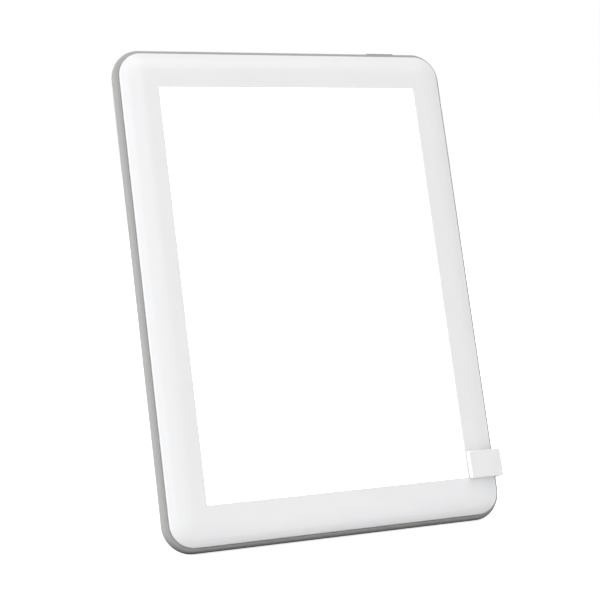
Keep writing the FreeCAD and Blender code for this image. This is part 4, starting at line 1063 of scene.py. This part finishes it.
def gusset(inner, outer):
    """A side rib between plate and leg, with a hollow curved edge."""
    top = Vector((0, ARM_BACK, HOOK_Z + GUSSET_RISE))
    tip = Vector((0, ARM_BACK + GUSSET_LENGTH, HOOK_Z + LEG_THICKNESS / 2))
    chord = tip - top
    away = Vector((0, -chord.z, chord.y)).normalized()
    centre = (top + tip) / 2 + away * math.sqrt(GUSSET_HOLLOW ** 2 - chord.length_squared / 4)
    piece = box("gusset", (inner, outer), (ARM_MIDDLE, tip.y), (HOOK_Z, top.z))
    cut(piece, rod("hollow", "X", (centre.y, centre.z), (inner - PAST, outer + PAST),
                   2 * GUSSET_HOLLOW, 240))

    def on_curve(a, b):
        same_side = abs(a.x - b.x) < CLOSE
        reach = [math.hypot(p.y - centre.y, p.z - centre.z) for p in (a, b)]
        return same_side and all(abs(r - GUSSET_HOLLOW) < NEAR_CURVE for r in reach)
    bevel(piece, on_curve, GUSSET_EDGE, 3)
    return piece


def pad_spots():
    """Where each grip pad's lowest corner lies: inside the lip, on the arm and on the plate."""
    front = HOOK_INNER_FRONT + PAD_PROUD - PAD[1]
    back = ARM_FRONT - PAD_PROUD
    arm_low = HOOK_Z - PAD[2] / 2
    plate_low = arm_low + PLATE_PAD_RISE
    left = LIP_END + LIP_PAD_INSET
    return ((left, front, arm_low), (left, back, arm_low),
            (PLATE_PAD_X - PAD[0] / 2, back, plate_low),
            (-PLATE_PAD_X - PAD[0] / 2, back, plate_low))


def pad_seat(spot):
    """The recess for one grip pad, open towards the lamp."""
    x, y, z = spot
    spare = PAD_SEAT_SPARE
    depth = (y, y + PAD[1] + spare) if y < 0 else (y - spare, y + PAD[1])
    return box("pad_seat", (x, x + PAD[0]), depth, (z, z + PAD[2]))


def stand():
    """White moulding: the hook, its arm and plate, a leg with two gussets and a round rail."""
    piece = hook_band()
    leg = box("leg", about(0, LEG_HALF), (ARM_MIDDLE, RAIL_Y), about(HOOK_Z, LEG_THICKNESS / 2))
    bevel(leg, along("Y"), LEG_EDGE, 4)
    rail = rod("rail", "X", (RAIL_Y, HOOK_Z), about(0, LEG_HALF), 2 * RAIL_RADIUS, 72)
    bevel(rail, either(at("X", LEG_HALF), at("X", -LEG_HALF)), LEG_EDGE, 4)
    side = LEG_HALF - GUSSET_THICKNESS
    add(piece, back_plate(), leg, rail, gusset(side, LEG_HALF), gusset(-LEG_HALF, -side))
    cut(piece, *[pad_seat(spot) for spot in pad_spots()])
    leaned(piece)
    cut(piece, box("foot_recess", about(0, STAND_FOOT_LENGTH / 2 + STAND_FOOT_GAP),
                   about(STAND_FOOT_Y, FOOT_WIDTH / 2 + STAND_FOOT_GAP),
                   about(0, STAND_FOOT_THICKNESS)))
    finished(piece, "stand", "stand_white", STAND_WHITE, "stand")


def grip_pads():
    """Four silicone pads, one modelled and the others copied."""
    spots = pad_spots()
    x, y, z = spots[0]
    first = box("grip_pad_1", (x, x + PAD[0]), (y, y + PAD[1]), (z, z + PAD[2]))
    bevel(first, along("Y"), PAD_CORNER, 5)
    bevel(first, either(at("Y", y), at("Y", y + PAD[1])), PAD_ROUND, 2)
    pads = [first]
    for index, spot in enumerate(spots[1:], 2):
        step = [after - before for before, after in zip(spots[0], spot)]
        pads.append(copied(first, "grip_pad_%d" % index, step))
    for pad in pads:
        finished(leaned(pad), "stand", "grip_silicone", GRIP, "grip_pads")


# ---------------------------------------------------------------- build

bezel()
shell()
power_button()
power_inlet()
case_screws()
foot_strip("base_foot_strip", BASE_FOOT_LENGTH, BASE_FOOT_THICKNESS, 0.0, "lamp", "base_foot")
stand()
grip_pads()
foot_strip("stand_foot_strip", STAND_FOOT_LENGTH, STAND_FOOT_THICKNESS, STAND_FOOT_Y, "stand",
           "stand_foot")

for node, material in INNER_FINISHES.items():
    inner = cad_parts[node]
    inner.data.materials.clear()
    inner.data.materials.append(material)


# ---------------------------------------------------------------- studio

# The floor's painted shade under the lamp: about the lamp's footprint, as middle and half on each
# axis, and how far beyond it the floor's returned light has risen in full, in metres
PAINTED_SHADE_FOOTPRINT = {"X": (0.0, 0.085), "Y": (0.032, 0.038)}
PAINTED_SHADE_FADE = 0.01
FLOOR_SIZE = 8.0

# Painted shade on the floor: the share of light that the floor returns under the lamp, and what
# comes to it beside the lamp
PAINTED_SHADE_UNDER_LAMP = 0.05
BESIDE_LAMP = 0.9

# The floor's tone and glow where the camera sees it, and the room's own light on the lamp
FLOOR_TONE = 0.75
FLOOR_GLOW = 0.85
ROOM_LIGHT = 0.3

# What the softboxes face, and from how far, in metres
LAMP_MIDDLE = Vector((0.0, 0.0227, 0.1108))
SOFTBOX_DISTANCE = 1.6


def clear_of_painted_shade(tree):
    """Nothing under the lamp, where shade is painted on the floor, rising to one on the open floor
    round it.
    """
    place = tree.nodes.new("ShaderNodeTexCoord").outputs["Object"]
    axes = tree.nodes.new("ShaderNodeSeparateXYZ")
    tree.links.new(place, axes.inputs[0])
    sides = []
    for axis, (middle, half) in PAINTED_SHADE_FOOTPRINT.items():
        away = math_node(tree, "ABSOLUTE", math_node(tree, "SUBTRACT", axes.outputs[axis], middle))
        sides.append(math_node(tree, "SUBTRACT", away, half))
    fade = tree.nodes.new("ShaderNodeMapRange")
    fade.interpolation_type = "SMOOTHSTEP"
    fade.inputs["From Max"].default_value = PAINTED_SHADE_FADE
    tree.links.new(math_node(tree, "MAXIMUM", *sides), fade.inputs["Value"])
    return fade.outputs["Result"]


def studio_floor():
    """A floor that shows white, keeps the lamp's shadow and returns light from beside the lamp,
    with painted shade under the lamp.
    """
    bpy.ops.object.select_all(action="DESELECT")
    bpy.ops.mesh.primitive_plane_add(size=FLOOR_SIZE, location=(0, 0, 0))
    floor = bpy.context.object
    floor.name = "studio_floor"
    material = bpy.data.materials.new("pale_floor_with_painted_shade")
    material.use_nodes = True
    tree = material.node_tree
    tree.nodes.clear()
    path = tree.nodes.new("ShaderNodeLightPath")
    outside = clear_of_painted_shade(tree)
    # The floor glows for glossy rays only beside the lamp: painted shade in its reflection under
    # the lamp.
    mirrored_beside_painted_shade = math_node(tree, "MULTIPLY", path.outputs["Is Glossy Ray"], outside)
    seen = math_node(tree, "ADD", path.outputs["Is Camera Ray"], mirrored_beside_painted_shade)
    seen = math_node(tree, "ADD", seen, path.outputs["Is Transmission Ray"], clamp=True)
    diffuse = tree.nodes.new("ShaderNodeBsdfDiffuse")
    # Under the lamp the floor's colour is painted dark: painted shade in the light it returns and,
    # a little, where the camera sees it.
    returned = math_node(tree, "ADD", math_node(tree, "MULTIPLY", outside, BESIDE_LAMP), PAINTED_SHADE_UNDER_LAMP)
    level = math_node(tree, "MAXIMUM", returned, math_node(tree, "MULTIPLY", seen, FLOOR_TONE))
    tone = tree.nodes.new("ShaderNodeCombineColor")
    for socket in tone.inputs[:3]:
        tree.links.new(level, socket)
    tree.links.new(tone.outputs[0], diffuse.inputs["Color"])
    glow = tree.nodes.new("ShaderNodeEmission")
    tree.links.new(math_node(tree, "MULTIPLY", seen, FLOOR_GLOW), glow.inputs["Strength"])
    total = tree.nodes.new("ShaderNodeAddShader")
    tree.links.new(diffuse.outputs[0], total.inputs[0])
    tree.links.new(glow.outputs[0], total.inputs[1])
    output = tree.nodes.new("ShaderNodeOutputMaterial")
    tree.links.new(total.outputs[0], output.inputs["Surface"])
    floor.data.materials.append(material)


def studio_world():
    """A room that shows white and lights the lamp evenly from all round."""
    world = bpy.data.worlds.new("white_room")
    bpy.context.scene.world = world
    world.use_nodes = True
    tree = world.node_tree
    path = tree.nodes.new("ShaderNodeLightPath")
    seen = math_node(tree, "ADD", path.outputs["Is Camera Ray"], path.outputs["Is Glossy Ray"])
    seen = math_node(tree, "ADD", seen, path.outputs["Is Transmission Ray"], clamp=True)
    background = tree.nodes["Background"]
    background.inputs["Color"].default_value = (*grey(1.0), 1.0)
    shown = math_node(tree, "MULTIPLY", seen, 1.0 - ROOM_LIGHT)
    tree.links.new(math_node(tree, "ADD", shown, ROOM_LIGHT), background.inputs["Strength"])


def softbox(name, direction, size, power):
    """A square lamp that faces the middle of the light therapy lamp."""
    place = LAMP_MIDDLE + Vector(direction).normalized() * SOFTBOX_DISTANCE
    bpy.ops.object.light_add(type="AREA", location=place)
    lamp = bpy.context.object
    lamp.name = name
    lamp.data.shape = "SQUARE"
    lamp.data.size = size
    lamp.data.energy = power
    lamp.rotation_euler = (LAMP_MIDDLE - place).to_track_quat("-Z", "Y").to_euler()


studio_floor()
studio_world()
softbox("left_softbox", (-1.0, 0.15, 0.26), 1.0, 12.2)
softbox("overhead_softbox", (0.05, -0.2, 1.0), 1.2, 11.2)
softbox("front_softbox", (-0.1, -1.0, 0.7), 1.0, 6.1)
softbox("right_fill", (0.8, -0.5, 0.3), 1.0, 1.3)
softbox("rear_softbox", (-0.1, 1.0, 0.45), 1.2, 7.0)

view = bpy.context.scene.view_settings
view.view_transform = "Standard"
